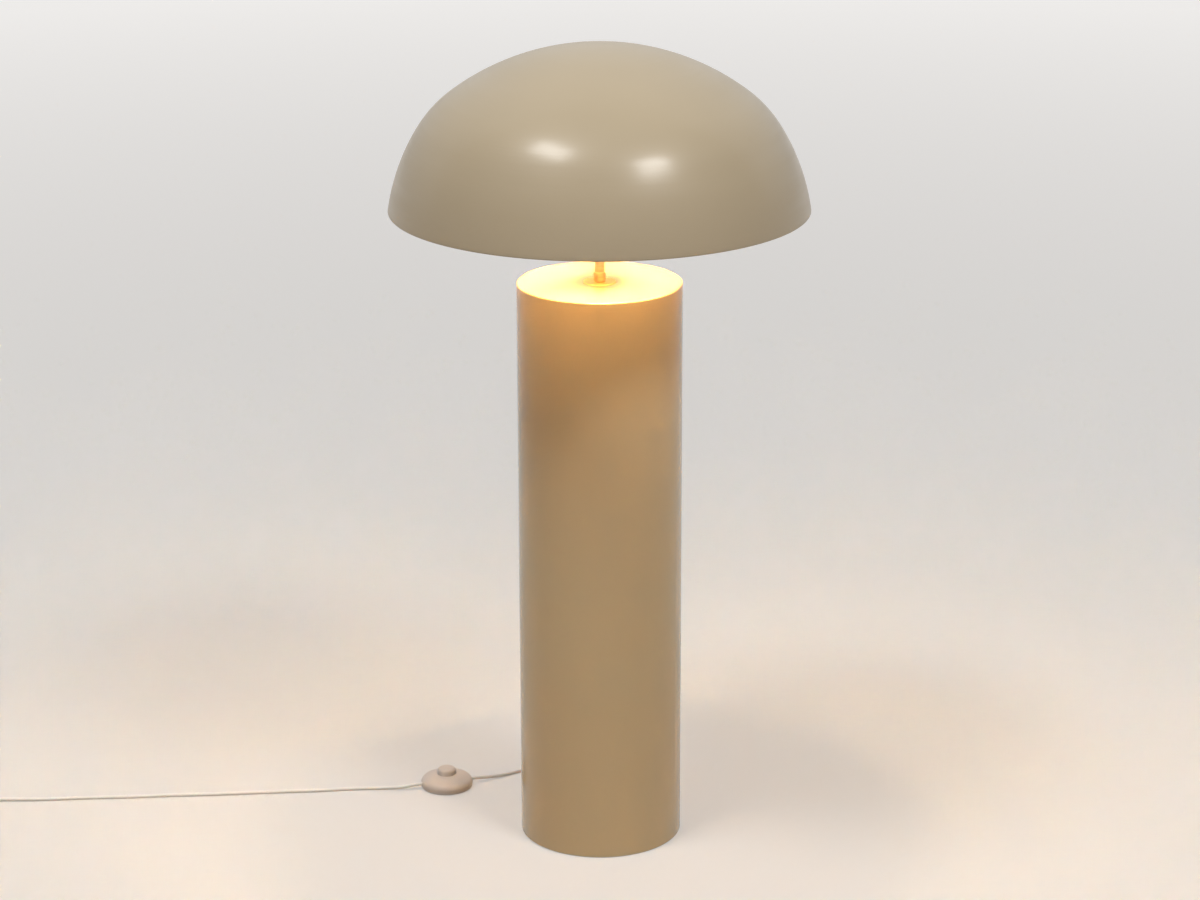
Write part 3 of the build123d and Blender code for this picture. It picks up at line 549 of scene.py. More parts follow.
runRoute = [
    (-0.2550, 0.1072, 0.0048),
    (-0.2830, 0.1100, cord["floor"]),
    (-0.3180, 0.1090, cord["floor"]),
    (-0.3700, 0.1020, cord["floor"]),
    (-0.4300, 0.0985, cord["floor"]),
    (-0.4900, 0.0920, cord["floor"]),
    (-0.5500, 0.0895, cord["floor"]),
    (-0.6100, 0.0835, cord["floor"]),
    (-0.6700, 0.0810, cord["floor"]),
    (-0.7250, 0.0755, cord["floor"]),
]

coil = {
    "centre": (-0.8260, 0.0386),
    "outer": 0.032,     # middle of the cord in the outermost turn
    "pitch": 0.0051,
    "halfTurns": 5,     # in the first layer
    "base": 0.0036,
    "heading": 184.0,   # degrees, the way in which the cord comes in
    "runIn": 0.060,
    "pointsPerHalfTurn": 8,
    "tailRadius": 0.042,
    "tailTurn": 70.0,
    "tailCorners": 3,
    "tailDip": 0.0006,
    "plugHeight": 0.00685,
}

footSwitch = {
    "centre": (-0.200, 0.122),
    "turn": 15.4,       # degrees, from +X to its cord
    "radius": 0.0335,
    "edgeHeight": 0.006,
    "cordHeight": 0.007,
    "cordEnd": 0.018,   # where the cord stops inside it
    "cordReach": 0.046, # how far out the cord still runs straight
    "passageReach": 0.06,
    "passageFit": 0.00015,
    "fit": 0.0003,
    "steps": 128,
}


def switchPoint(along):
    turn = math.radians(footSwitch["turn"])
    x, y = footSwitch["centre"]
    return (x + along * math.cos(turn), y + along * math.sin(turn), footSwitch["cordHeight"])


def coilPoint(across, ahead, height):
    # from the coil's middle, across and along the way in which the cord comes in
    h = math.radians(coil["heading"])
    x = coil["centre"][0] + across * math.sin(h) + ahead * math.cos(h)
    y = coil["centre"][1] - across * math.cos(h) + ahead * math.sin(h)
    return (x, y, height)


def coilRoute():
    # half turns inwards, a layer up in the innermost one, and outwards on top
    radii = [coil["outer"] - coil["pitch"] / 2 * i for i in range(coil["halfTurns"] + 1)]
    radii += radii[-2:0:-1]
    count = coil["pointsPerHalfTurn"]
    grow = 1 / math.cos(math.pi / count / 2)  # the spline runs inside its points
    points, place, side = [], coil["outer"], 1
    for number, radius in enumerate(radii):
        middle = place - side * radius
        for i in range(count):
            share = (i + 0.5) / count
            climb = min(1, max(0, number - coil["halfTurns"] + share))
            across = middle + side * grow * radius * math.cos(math.pi * share)
            ahead = side * grow * radius * math.sin(math.pi * share)
            points.append(coilPoint(across, ahead, coil["base"] + coil["pitch"] * climb))
        place -= 2 * side * radius
        side = -side
    return points, place


def tailRoute(start):
    corner = math.radians(coil["tailTurn"] / coil["tailCorners"])
    run = 2 * coil["tailRadius"] * math.tan(corner / 2)
    x, y, high = start
    points = [start]
    heights = (high, high - coil["tailDip"], coil["plugHeight"], coil["plugHeight"])
    for number, z in enumerate(heights):
        angle = math.radians(coil["heading"]) + corner * number
        x, y = x + run * math.cos(angle), y + run * math.sin(angle)
        points.append((x, y, z))
    return points


def addCord(name, points, replaced):
    curve = bpy.data.curves.new(name, "CURVE")
    curve.dimensions = "3D"
    curve.bevel_depth = cord["radius"]
    curve.bevel_resolution = cord["sideSteps"]
    curve.resolution_u = cord["spanSteps"]
    curve.use_fill_caps = True
    spline = curve.splines.new("NURBS")
    spline.points.add(len(points) - 1)
    for point, place in zip(spline.points, points):
        point.co = (*place, 1)
    spline.order_u = cord["order"]
    spline.use_endpoint_u = True
    return addPiece(name, curve, "cord_vinyl", replaced)


coilTurns, coilEnd = coilRoute()
coilStart = coilPoint(coil["outer"], -coil["runIn"], coil["base"])
tail = tailRoute(coilPoint(coilEnd, 0, coil["base"] + coil["pitch"]))
cordEnd, cordReach = footSwitch["cordEnd"], footSwitch["cordReach"]
leadCord = addCord(
    "lampLead", [*leadRoute, switchPoint(cordReach), switchPoint(cordEnd)],
    ("cord_lamp_lead",))
mainsCord = addCord(
    "mainsCord",
    [switchPoint(-cordEnd), switchPoint(-cordReach), *runRoute, coilStart, *coilTurns, *tail],
    ("cord_mains_run", "cord_coil", "cord_plug_tail"))
print("cord laid,", len(coilTurns), "points in its coil")


# Shade

dome = {
    "top": 0.99613,
    "arcs": ((0.300, 37.0), (0.145, 58.0), (0.252, 81.6)),  # radius, slope at its lower end
    "wall": 0.0012,
    "hem": 0.006,
    "foldSteps": 8,
    "hemEdge": (0.15, 1.85),   # its round, in degrees down, and its depth in walls
    "sharp": 40,
    "steps": 224,
    "slopeStep": 1.0,
}


def domePoint(slope, depth=0.0):
    # point of the outline with this slope in degrees, this deep in the wall
    x, z, low = 0.0, dome["top"], 0.0
    for radius, high in dome["arcs"]:
        here = min(max(slope, low), high)
        x += radius * (math.sin(math.radians(here)) - math.sin(math.radians(low)))
        z -= radius * (math.cos(math.radians(low)) - math.cos(math.radians(here)))
        low = high
    s = math.radians(slope)
    return (x - depth * math.sin(s), z - depth * math.cos(s))


def addShade():
    wall, (lastRadius, rim) = dome["wall"], dome["arcs"][-1]
    foldSlope = rim - math.degrees(wall / lastRadius)
    hemSlope = rim - math.degrees(dome["hem"] / lastRadius)
    count = int(rim / dome["slopeStep"])
    outline = [domePoint(foldSlope * i / count) for i in range(count + 1)]
    fold = domePoint(foldSlope, wall)  # middle of the folded edge
    back = math.radians(rim)
    for i in range(1, dome["foldSteps"]):
        a = math.pi * i / dome["foldSteps"]
        out, down = math.cos(a) * wall, math.sin(a) * wall
        outline.append((fold[0] + out * math.sin(back) + down * math.cos(back),
                        fold[1] + out * math.cos(back) - down * math.sin(back)))
    edgeDown, edgeDepth = dome["hemEdge"]
    outline += [domePoint(foldSlope, 2 * wall), domePoint(hemSlope + edgeDown, 2 * wall),
                domePoint(hemSlope, edgeDepth * wall), domePoint(hemSlope, wall)]
    inner = int(hemSlope / dome["slopeStep"])
    outline += [domePoint(hemSlope * (1 - i / inner), wall) for i in range(1, inner + 1)]
    bm = bmesh.new()
    spin(bm, outline, dome["steps"], closed=False)
    addPiece("shade", finishMesh(bm, "shade", dome["sharp"]), "shade_lacquer", ("shade_dome",))


stud = {
    "slope": 75.5,
    "angles": (90, 210, 330),
    "radius": 0.002,
    "length": 0.008,
    "pitch": 0.0007,
    "depth": 0.0003,
    "shape": ((0.1, 1), (0.4, 0), (0.6, 0), (0.9, 1)),  # share of the pitch, depth
    "steps": 24,
}


def studOutline():
    # a threaded bar, its thread as rings
    radius, length, pitch = stud["radius"], stud["length"], stud["pitch"]
    root = radius - stud["depth"]
    outline = [(0, 0), (root, 0)]
    for i in range(int(length / pitch)):
        outline += [(radius - stud["depth"] * deep, (i + share) * pitch)
                    for share, deep in stud["shape"]]
    return outline + [(root, length), (0, length)]


def addShadeStuds():
    bm = bmesh.new()
    x, z = domePoint(stud["slope"], dome["wall"] / 2)
    s = math.radians(stud["slope"])
    axis = Vector((-math.sin(s), 0, -math.cos(s)))
    lean = Matrix.Translation((x, 0, z)) @ axis.to_track_quat("Z", "Y").to_matrix().to_4x4()
    for angle in stud["angles"]:
        place = Matrix.Rotation(math.radians(angle), 4, "Z") @ lean
        spin(bm, studOutline(), stud["steps"], place, closed=False)
    addPiece("shadeStuds", finishMesh(bm, "shadeStuds"), "zinc_steel")


addShade()
addShadeStuds()
print("shade spun")


# Column

column = {
    "radius": 0.100,
    "top": 0.710,
    "bottom": 0.001,
    "wall": 0.0012,
    "lid": 0.002,
    "edge": 0.002,      # radius of the round between lid and wall
    "lip": 0.0004,      # bevel of the lower edge
    "seam": 0.001,      # bevel inside, between lid and wall
    "rows": (0.004, 0.024, 0.05, 0.2, 0.4, 0.6, 0.69),
    "lidRows": (0.094, 0.05, 0.012),
    "insideRows": (0.4, 0.024, 0.004),
    "bore": 0.0051,
    "exitBore": 0.0053,
    "exitCut": 0.010,   # how far the cutter reaches to both sides of the wall's face
    "steps": 256,
}


def addColumn():
    r, top, edge, bottom = column["radius"], column["top"], column["edge"], column["bottom"]
    inner, lip, seam = r - column["wall"], column["lip"], column["seam"]
    lidLow = top - column["lid"]
    outline = [(inner + lip / 2, bottom), (r - lip, bottom), (r, bottom + lip)]
    outline += [(r, z) for z in column["rows"]]
    outline += arc((r - edge, top - edge), edge, 0, 90, steps=8)
    outline += [(x, top) for x in (*column["lidRows"], column["bore"])]
    outline += [(column["bore"], lidLow), (inner - seam, lidLow), (inner, lidLow - seam)]
    outline += [(inner, z) for z in column["insideRows"]]
    outline += [(inner, bottom + lip / 2)]
    shell = turned("columnShell", outline, column["steps"])
    height, reach = cord["exitHeight"], column["exitCut"]
    hole = pipe("exitHole", (0, r - reach, height), (0, r + reach, height), column["exitBore"])
    addPiece("column", cut(shell, hole), "column_lacquer", ("column_shell",))


bush = {
    "wallInside": 0.0985,
    "barb": (0.006, 0.0015, 0.0008),   # radius, length, taper
    "neck": 0.005,
    "face": 0.1001,
    "flange": (0.007, 0.002, 0.0006),  # radius, length, round
    "step": 0.0004,
    "taper": 0.024,
    "tip": 0.0034,
    "tipBevel": 0.0005,
    "bore": 0.00245,
    "ribs": 6,
    "ribShape": ((0.45, 0), (0.55, 1), (0.85, 1), (0.95, 0)),  # share of the rib, depth
    "lastRib": 0.4,     # smooth part at the tip, in ribs
    "groove": 0.0007,
    "steps": 48,
}


def addBush():
    # bend relief: a flange on the wall, then a taper with grooves round it
    barbRadius, barbLength, barbTaper = bush["barb"]
    flangeRadius, flangeLength, flangeRound = bush["flange"]
    bore, neck, tip, bevel = bush["bore"], bush["neck"], bush["tip"], bush["tipBevel"]
    inside, face = bush["wallInside"], bush["face"]
    start = face + flangeLength
    end = start + bush["taper"]
    outline = [(bore, inside - barbLength), (barbRadius - barbTaper, inside - barbLength),
               (barbRadius, inside), (neck, inside), (neck, face), (flangeRadius, face)]
    corner = (flangeRadius - flangeRound, start - flangeRound)
    outline += arc(corner, flangeRound, 0, 90, steps=4)
    outline += [(neck + bush["step"], start), (neck, start + flangeRound)]
    for i in range(bush["ribs"]):
        for share, deep in bush["ribShape"]:
            along = (i + share) / (bush["ribs"] + bush["lastRib"])
            radius = neck + (tip - neck) * along - deep * bush["groove"]
            outline.append((radius, start + bush["taper"] * along))
    outline += [(tip, end - bevel), (tip - bevel, end), (bore, end)]
    turn = Matrix.Rotation(math.radians(-90), 4, "X")
    place = Matrix.Translation((0, 0, cord["exitHeight"])) @ turn
    addPiece("cordBush", turned("cordBush", outline, bush["steps"], place), "cord_vinyl",
             ("cord_bush",))


addColumn()
addBush()
print("column and its cord bush built")


# Bulb

bulb = {
    "low": 0.8178,
    "length": 0.108,
    "radius": 0.030,
    "collarTop": 0.8708,
    "collarRadius": 0.023,
    "collarFoot": 0.014,
    "collarRows": 16,
    "steps": 72,
}


def addGlobe():
    radius, neck, low = bulb["radius"], bulb["collarRadius"], bulb["collarTop"]
    middle = bulb["low"] + bulb["length"] - radius
    start = -math.degrees(math.acos(neck / radius))
    outline = [(0, low), (neck, low)]
    outline += arc((0, middle), radius, start, 90, steps=36)[:-1] + [(0, middle + radius)]
    globe = turned("bulbGlobe", outline, bulb["steps"], closed=False)
    addPiece("bulbGlobe", globe, "bulb_opal", ("bulb_globe",), "bulb")


def addCollar():
    # from the screw cap out to the globe in one soft S
    low, high = screwCap["low"] + screwCap["length"], bulb["collarTop"]
    foot, rows = bulb["collarFoot"], bulb["collarRows"]
    outline = [(0, low)]
    for i in range(rows + 1):
        t = i / rows
        swell = t * t * (3 - 2 * t)
        outline.append((foot + (bulb["collarRadius"] - foot) * swell, low + (high - low) * t))
    outline.append((0, high))
    collar = turned("bulbCollar", outline, bulb["steps"], closed=False)
    addPiece("bulbCollar", collar, "bulb_white", ("bulb_collar",), "bulb")


screwCap = {
    "low": 0.8198,
    "length": 0.025,
    "radius": 0.013,
    "foot": ((0.0062, 0), (0.0075, 0.0006), (0.0118, 0.0042)),  # radius, height
    "pitch": 0.0036,
    "depth": 0.0009,
    "plain": (0.005, 0.001),   # without thread, at the foot and at the collar
    "rowsPerTurn": 12,
    "fade": (6, 8),            # rows in which the thread starts and ends
    "sharp": 50,
    "steps": 40,
}


def threadRing(height, fade):
    # one row of the helical thread, its depth faded towards both ends
    ring = []
    steps = screwCap["steps"]
    for i in range(steps):
        a = 2 * math.pi * i / steps
        wave = 0.5 + 0.5 * math.cos(2 * math.pi * height / screwCap["pitch"] - a)
        radius = screwCap["radius"] - screwCap["depth"] * (1 - wave * fade)
        ring.append((radius * math.cos(a), radius * math.sin(a), screwCap["low"] + height))
    return ring


def addScrewCap():
    # one helical thread, as on every lamp cap of this size
    low, length, steps = screwCap["low"], screwCap["length"], screwCap["steps"]
    (foot, head), (fadeIn, fadeOut) = screwCap["plain"], screwCap["fade"]
    rows = int((length - foot - head) / screwCap["pitch"] * screwCap["rowsPerTurn"])
    rings = [circle(radius, low + rise, steps) for radius, rise in screwCap["foot"]]
    for row in range(rows + 1):
        fade = min(1.0, row / fadeIn, (rows - row) / fadeOut)
        rings.append(threadRing(foot + (length - head - foot) * row / rows, fade))
    rings.append(circle(screwCap["radius"], low + length, steps))
    cap = skinned("bulbCap", rings, screwCap["sharp"])
    addPiece("bulbCap", cap, "bulb_cap_metal", ("bulb_cap",), "bulb")


addGlobe()
addCollar()
addScrewCap()
print("bulb built")


# Foot switch

def switchPlace():
    x, y = footSwitch["centre"]
    turn = Matrix.Rotation(math.radians(footSwitch["turn"]), 4, "Z")
    return Matrix.Translation((x, y, 0)) @ turn


cover = {
    "shoulder": (0.008, 62.0),  # radius, and the angle where the crown takes over
    "crown": (0.0462, 84.0),
    "foot": (0.0002, 0.0001),   # its lower edge, in and down from the side
    "wall": 0.002,
    "guideDrop": 0.005,         # of the guide round the button
    "guideWall": 0.0015,
    "bevel": 0.0004,
}


def coverCurve():
    # centres of the two arcs of the cover's outline, and its height at the button
    (radius, turn), (crown, end) = cover["shoulder"], cover["crown"]
    edge = (footSwitch["radius"] - radius, footSwitch["edgeHeight"])
    t = math.radians(turn)
    centre = (edge[0] + (radius - crown) * math.cos(t), edge[1] + (radius - crown) * math.sin(t))
    return edge, centre, centre[1] + crown * math.sin(math.radians(end))


def cordPassage():
    reach = footSwitch["passageReach"]
    return pipe("cordPassage", switchPoint(-reach), switchPoint(reach),
                cord["radius"] + footSwitch["passageFit"])


def addSwitchCover():
    (radius, turn), (crown, end) = cover["shoulder"], cover["crown"]
    edge, centre, top = coverCurve()
    wall, bevel, (footIn, footDown) = cover["wall"], cover["bevel"], cover["foot"]
    bore = button["radius"] + footSwitch["fit"]
    guideLow, guideOut = top - cover["guideDrop"], bore + cover["guideWall"]
    innerEnd = math.degrees(math.acos((guideOut - centre[0]) / (crown - wall)))
    outline = [(footSwitch["radius"] - footIn, footSwitch["edgeHeight"] - footDown)]
    outline += arc(edge, radius, 0, turn, steps=14)
    outline += arc(centre, crown, turn, end, steps=14)[1:]
    outline += [(bore + bevel, top), (bore, top - bevel), (bore, guideLow), (guideOut, guideLow)]
    outline += arc(centre, crown - wall, innerEnd, turn, steps=10)
    outline += arc(edge, radius - wall, turn, 0, steps=8)[1:]
    shell = turned("switchCover", outline, footSwitch["steps"], switchPlace())
    addPiece("switchCover", cut(shell, cordPassage()), "switch_plastic", ("switch_cover",))


tray = {
    "low": 0.001,               # over its rubber pads
    "floorTop": 0.003,
    "inset": 0.0005,            # of its side, from the cover's
    "drop": 0.0002,             # of its edge, from the cover's
    "wall": 0.002,
    "round": 0.0012,
    "bevel": 0.0003,
}


def addSwitchBase():
    low, floorTop, r, bevel = tray["low"], tray["floorTop"], tray["round"], tray["bevel"]
    outer, high = footSwitch["radius"] - tray["inset"], footSwitch["edgeHeight"] - tray["drop"]
    inner = outer - tray["wall"]
    outline = [(0, low), (outer - r, low)]
    outline += arc((outer - r, low + r), r, -90, 0, steps=5)[1:]
    outline += [(outer, high - bevel), (outer - bevel, high), (inner, high), (inner, floorTop),
                (0, floorTop)]
    shell = turned("switchBase", outline, footSwitch["steps"], switchPlace(), closed=False)
    addPiece("switchBase", cut(shell, cordPassage()), "switch_plastic", ("switch_base",))


button = {
    "radius": 0.0119,
    "rise": 0.0076,             # over the cover
    "wall": 0.002,
    "flange": (0.0015, 0.0014), # width, height
    "edge": (0.0035, 84),       # radius, and the angle where the top takes over
    "crown": 0.0002,            # fall of its top, from the middle to the edge
    "crownRows": (0.85, 0.6, 0.35),
    "steps": 96,
}


def addButton():
    coverTop = coverCurve()[2]
    r, top, crown = button["radius"], coverTop + button["rise"], button["crown"]
    (flangeWidth, flangeHeight), (edge, edgeEnd) = button["flange"], button["edge"]
    low = coverTop - cover["guideDrop"] - footSwitch["fit"] - flangeHeight
    flangeTop, inner = low + flangeHeight, r - button["wall"]
    outline = [(inner, low), (r + flangeWidth, low), (r + flangeWidth, flangeTop), (r, flangeTop)]
    outline += arc((r - edge, top - edge), edge, 0, edgeEnd, steps=10)
    outline += [((r - edge) * share, top - crown * (0.5 - 0.5 * math.cos(math.pi * share)))
                for share in button["crownRows"]]
    outline += [(0, top), (0, top - button["wall"]), (inner, top - button["wall"])]
    shell = turned("switchButton", outline, button["steps"], switchPlace())
    addPiece("switchButton", shell, "switch_plastic", ("switch_button",), "foot_button")


spring = {
    "low": 0.0074,
    "high": 0.0235183,
    "radius": 0.0076,
    "wire": 0.0005,             # radius
    "turns": 8,
    "endPitch": 0.00105,        # of the closed turn at each end
    "travel": 0.0035,
    "steps": 32,
    "sides": 8,
    "sharp": 60,
}


def addSpring():
    # closed at both ends
    thick, turns, endPitch = spring["wire"], spring["turns"], spring["endPitch"]
    low, high = spring["low"] + thick, spring["high"] - thick
    pitch = (high - low - 2 * endPitch) / (turns - 2)
    place = switchPlace()
    rings = []
    for i in range(turns * spring["steps"] + 1):
        t = i / spring["steps"]
        openTurns = max(0.0, min(t - 1, turns - 2))
        height = low + openTurns * pitch + (t - openTurns) * endPitch
        a = 2 * math.pi * t
        ring = []
        for out, up, _ in circle(thick, 0, spring["sides"]):
            reach = spring["radius"] + out
            ring.append(place @ Vector((reach * math.cos(a), reach * math.sin(a), height + up)))
        rings.append(ring)
    piece = addPiece("switchSpring", skinned("switchSpring", rings, spring["sharp"]),
                     "zinc_steel", ("switch_spring",))
    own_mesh(piece)


addSwitchCover()
addSwitchBase()
addButton()
addSpring()
print("foot switch built")


# Plug, its bend relief and the coil's tie

def plugPlace():
    angle = math.radians(coil["heading"] + coil["tailTurn"])
    return Matrix.Translation(tail[-1]) @ Matrix.Rotation(angle, 4, "Z")


def plugRing(along, width, thickness, power):
    place = plugPlace()
    outline = roundedRing(width, thickness, power, plug["sides"])
    return [place @ Vector((along, x, z)) for x, z in outline]


relief = {
    "length": 0.024,
    "tip": 0.0066,
    "neck": 0.014,
    "neckThickness": 0.010,
    "ribs": 5,
    "ribShape": ((0.0, 0), (0.55, 0), (0.62, 1), (0.93, 1)),  # share of the rib, depth
    "lastRib": 0.6,       # smooth part at the plug, in ribs
    "groove": 0.0016,     # off its width
}


def addRelief():
    # round at the cord, flatter towards the plug
    tip, neck, neckThickness = relief["tip"], relief["neck"], relief["neckThickness"]
    rings = []
    for i in range(relief["ribs"] + 1):
        for share, deep in relief["ribShape"]:
            t = min(1.0, (i + share) / (relief["ribs"] + relief["lastRib"]))
            thin = deep * relief["groove"]
            width, thickness = tip + (neck - tip) * t, tip + (neckThickness - tip) * t
            rings.append(plugRing(relief["length"] * t, width - thin, thickness - thin, 2 + t))
    return addPiece("plugRelief", skinned("plugRelief", rings), "cord_vinyl", ("plug_relief",))


plug = {
    "length": 0.034,
    "width": 0.035,
    "thickness": 0.0135,
    "nose": 0.027,        # width where the pins come out
    "power": 3.2,         # of its section's outline, between ellipse and rectangle
    "rows": 48,
    "sides": 56,
    # shares of its length, and powers of the curves between them
    "widest": (0.38, 1.2),
    "narrows": (0.72, 1.3),
    "thickest": (0.25, 0.6),
    "grip": (0.40, 0.72),
    "gripRibs": 4,
    "gripDepth": 0.0008,
    "rounds": (0.05, 0.04),
    "roundDepth": 0.0016,
    "sharp": 50,
}


def plugSize(t):
    # width and thickness at this share of the plug's length
    (widest, swell), (narrows, fall) = plug["widest"], plug["narrows"]
    (thickest, fatten), (gripStart, gripEnd) = plug["thickest"], plug["grip"]
    neck, neckThickness = relief["neck"], relief["neckThickness"]
    rise = math.sin(min(1.0, t / widest) * math.pi / 2) ** swell
    width = neck + (plug["width"] - neck) * rise
    width -= (plug["width"] - plug["nose"]) * max(0.0, (t - narrows) / (1 - narrows)) ** fall
    if gripStart < t < gripEnd:
        ribs = (t - gripStart) / (gripEnd - gripStart) * plug["gripRibs"]
        width -= plug["gripDepth"] * (0.5 - 0.5 * math.cos(2 * math.pi * ribs))
    thick = neckThickness + (plug["thickness"] - neckThickness) * min(1.0, t / thickest) ** fatten
    ends = min(1.0, t / plug["rounds"][0], (1 - t) / plug["rounds"][1])
    shrink = plug["roundDepth"] * (1 - math.sqrt(max(0.0, 1 - (1 - ends) ** 2)))
    return width - shrink, thick - shrink


def addPlugBody():
    # moulded body, widest in the middle, with grip ribs across its sides
    rings = []
    for i in range(plug["rows"] + 1):
        t = i / plug["rows"]
        rings.append(plugRing(relief["length"] + plug["length"] * t, *plugSize(t), plug["power"]))
    body = skinned("plugBody", rings, plug["sharp"])
    return addPiece("plugBody", body, "cord_vinyl", ("plug_body",))


pin = {
    "radius": 0.002,
    "length": 0.019,
    "spacing": 0.0186,
    "root": 0.0079,       # how deep it goes into the plug
    "core": 0.8,          # inside the sleeve, as a share of its radius
    "tip": (0.001, 80),   # radius and end of the round
    "sleeve": 0.010,
    "sleeveBore": 0.82,   # as a share of the pin's radius
    "sleeveBevel": 0.0002,
    "sleeveFit": 0.0001,  # to the pin's step
    "steps": 32,
}


def addPins():
    nose = relief["length"] + plug["length"]
    r, length, sleeve, (tipRound, tipEnd) = pin["radius"], pin["length"], pin["sleeve"], pin["tip"]
    core, bore = r * pin["core"], r * pin["sleeveBore"]
    sleeveTop, bevel = sleeve - pin["sleeveFit"], pin["sleeveBevel"]
    bar = [(0, -pin["root"]), (core, -pin["root"]), (core, sleeve), (r, sleeve)]
    bar += arc((r - tipRound, length - tipRound), tipRound, 0, tipEnd, steps=6) + [(0, length)]
    tube = [(bore, 0), (r, 0), (r, sleeveTop - bevel), (r - bevel, sleeveTop), (bore, sleeveTop)]
    pins, sleeves = bmesh.new(), bmesh.new()
    for side in (-1, 1):
        place = plugPlace() @ Matrix.Translation((nose, side * pin["spacing"] / 2, 0))
        place = place @ Matrix.Rotation(math.radians(90), 4, "Y")
        spin(pins, bar, pin["steps"], place, closed=False)
        spin(sleeves, tube, pin["steps"], place)
    return [
        addPiece("plugPins", finishMesh(pins, "plugPins"), "contact_brass", ("plug_pins",)),
        addPiece("pinSleeves", finishMesh(sleeves, "pinSleeves"), "inner_plastic",
                 ("pin_sleeves",))]


tie = {
    "width": 0.010,
    "thickness": 0.0008,
    "inner": 0.01555,
    "outer": 0.0348,
    "low": 0.0010,
    "high": 0.0113,
    "corner": 0.003,
    "cornerSteps": 10,
}


def addTie():
    # flat tape round the bundle, across from where the cord comes in
    r, half, thickness = tie["corner"], tie["width"] / 2, tie["thickness"]
    left, right = tie["inner"] + r, tie["outer"] - r
    low, high = tie["low"] + r, tie["high"] - r
    rings = []
    for across, height, start in ((right, high, 0), (left, high, 90), (left, low, 180),
                                  (right, low, 270)):
        for i in range(tie["cornerSteps"] + 1):
            a = math.radians(start + 90 * i / tie["cornerSteps"])
            rings.append([
                coilPoint(-(across + reach * math.cos(a)), ahead, height + reach * math.sin(a))
                for reach, ahead in ((r, -half), (r + thickness, -half), (r + thickness, half),
                                     (r, half))])
    return addPiece("coilTie", skinned("coilTie", rings, endless=True), "tie_fabric",
                    ("coil_tie",))


plugPieces = [addRelief(), addPlugBody(), *addPins(), addTie()]
print("plug and tie built")


# Floor, light and background

floor = {
    "size": 30.0,
    "shown": (0.50, 0.48, 0.46),
    "roughness": 0.8,
    "bounce": (0.50, 0.41, 0.31),     # what it throws back on the lamp
    "glowColour": (1, 0.985, 0.97, 1),
    "glow": (0.30, 0.70),             # added where it is seen, near the lamp and far off
    "glowReach": (1.0, 6.0),
}


def floorFinish():
    # pale where it is seen, warmer where it only throws light back
    material, shown = newFinish("floor", floor["roughness"])
    shown.inputs["Base Color"].default_value = (*floor["shown"], 1)
    shown.inputs["Emission Color"].default_value = floor["glowColour"]
    bounce = addNode(material, "ShaderNodeBsdfDiffuse", Color=(*floor["bounce"], 1))
    path = addNode(material, "ShaderNodeLightPath").outputs
    away = lengthOf(material, objectSpace(material))
    glow = spread(material, away, *floor["glow"], floor["glowReach"])
    seen = calculate(material, "ADD", path["Is Camera Ray"], path["Is Glossy Ray"])
    seen = calculate(material, "ADD", seen, path["Is Transmission Ray"])
    wire(material, calculate(material, "MULTIPLY", seen, glow), shown.inputs["Emission Strength"])
    mix = addNode(material, "ShaderNodeMixShader", {
        0: path["Is Diffuse Ray"], 1: shown.outputs[0], 2: bounce.outputs[0]})
    wire(material, mix.outputs[0], material.node_tree.nodes["Material Output"].inputs["Surface"])
    return material


def addFloor():
    half = floor["size"] / 2
    mesh = bpy.data.meshes.new("floor")
    corners = [(-half, -half, 0), (half, -half, 0), (half, half, 0), (-half, half, 0)]
    mesh.from_pydata(corners, [], [(0, 1, 2, 3)])
    mesh.materials.append(floorFinish())
    piece = bpy.data.objects.new("floor", mesh)
    bpy.context.scene.collection.objects.link(piece)


background = {
    "light": 0.15,
    "front": 0.18,            # seen mirrored, towards the camera's side
    "back": 1.0,              # the bright backdrop, seen mirrored
    "turn": (0.26, 0.31),     # along Y, where the one passes into the other
    "edge": 0.78,             # mirrored, just over the floor's end
    "edgeReach": (0.0, 0.25), # along Z
    "shown": (0.78, 0.77, 0.755),
}


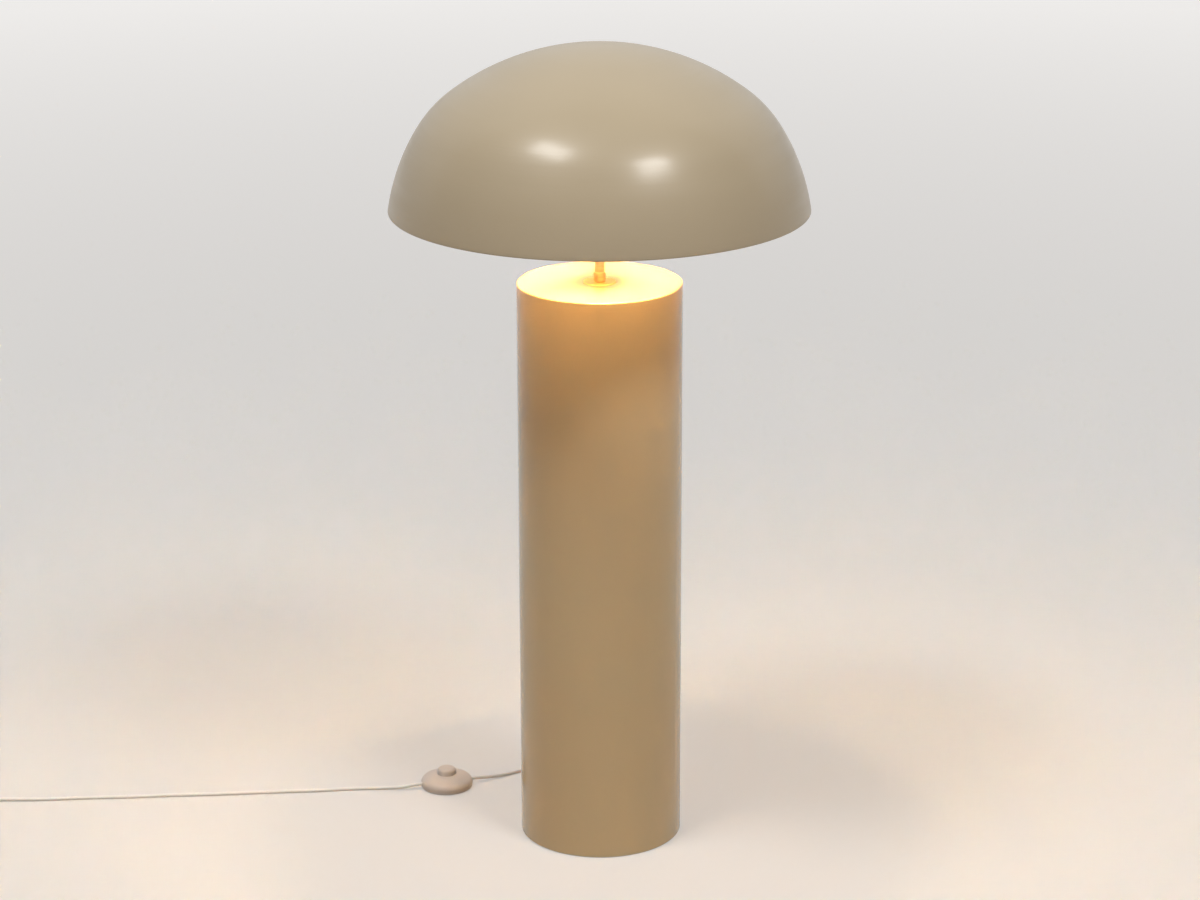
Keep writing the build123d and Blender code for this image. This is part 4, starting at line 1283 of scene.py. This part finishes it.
def addWorld():
    # soft light all round; mirrored rays meet a bright backdrop behind the lamp
    world = bpy.data.worlds.new("studio")
    world.use_nodes = True
    bpy.context.scene.world = world
    nodes = world.node_tree.nodes
    light = nodes["Background"]
    light.inputs["Color"].default_value = (1, 1, 1, 1)
    light.inputs["Strength"].default_value = background["light"]
    sky = addNode(world, "ShaderNodeTexCoord").outputs["Generated"]
    way = addNode(world, "ShaderNodeSeparateXYZ", {0: sky}).outputs
    step = addNode(world, "ShaderNodeMapRange", {"Value": way["Y"]})
    setRange(step, background["turn"], background["front"], background["back"])
    rise = addNode(world, "ShaderNodeMapRange", {"Value": way["Z"], "To Max": step.outputs[0]})
    setRange(rise, background["edgeReach"], background["edge"])
    mirrored = addNode(world, "ShaderNodeBackground", {"Strength": rise.outputs[0]})
    shown = addNode(world, "ShaderNodeBackground", Color=(*background["shown"], 1))
    path = addNode(world, "ShaderNodeLightPath").outputs
    unseen = addNode(world, "ShaderNodeMixShader", {
        0: path["Is Glossy Ray"], 1: light.outputs[0], 2: mirrored.outputs[0]})
    mix = addNode(world, "ShaderNodeMixShader", {
        0: path["Is Camera Ray"], 1: unseen.outputs[0], 2: shown.outputs[0]})
    wire(world, mix.outputs[0], nodes["World Output"].inputs["Surface"])


lights = {
    "each": (
        # way towards the light, size, watts
        ("keyLeft", (-0.368, -0.273, 0.889), (1.5, 0.9), 108.0),
        ("keyRight", (0.445, -0.461, 0.768), (1.3, 0.8), 94.0),
    ),
    "colour": (1.0, 0.985, 0.96),
    "distance": 4.5,
    "aim": (0.0, -0.2, 0.9),
}


def addLights():
    for name, way, size, watts in lights["each"]:
        data = bpy.data.lights.new(name, "AREA")
        data.shape = "RECTANGLE"
        data.size, data.size_y = size
        data.energy = watts
        data.color = lights["colour"]
        light = bpy.data.objects.new(name, data)
        way = Vector(way).normalized()
        light.location = Vector(lights["aim"]) + way * lights["distance"]
        light.rotation_mode = "QUATERNION"
        light.rotation_quaternion = way.to_track_quat("Z", "Y")
        bpy.context.scene.collection.objects.link(light)


addFloor()
addWorld()
addLights()
bpy.context.scene.view_settings.view_transform = "Standard"
print("studio set")
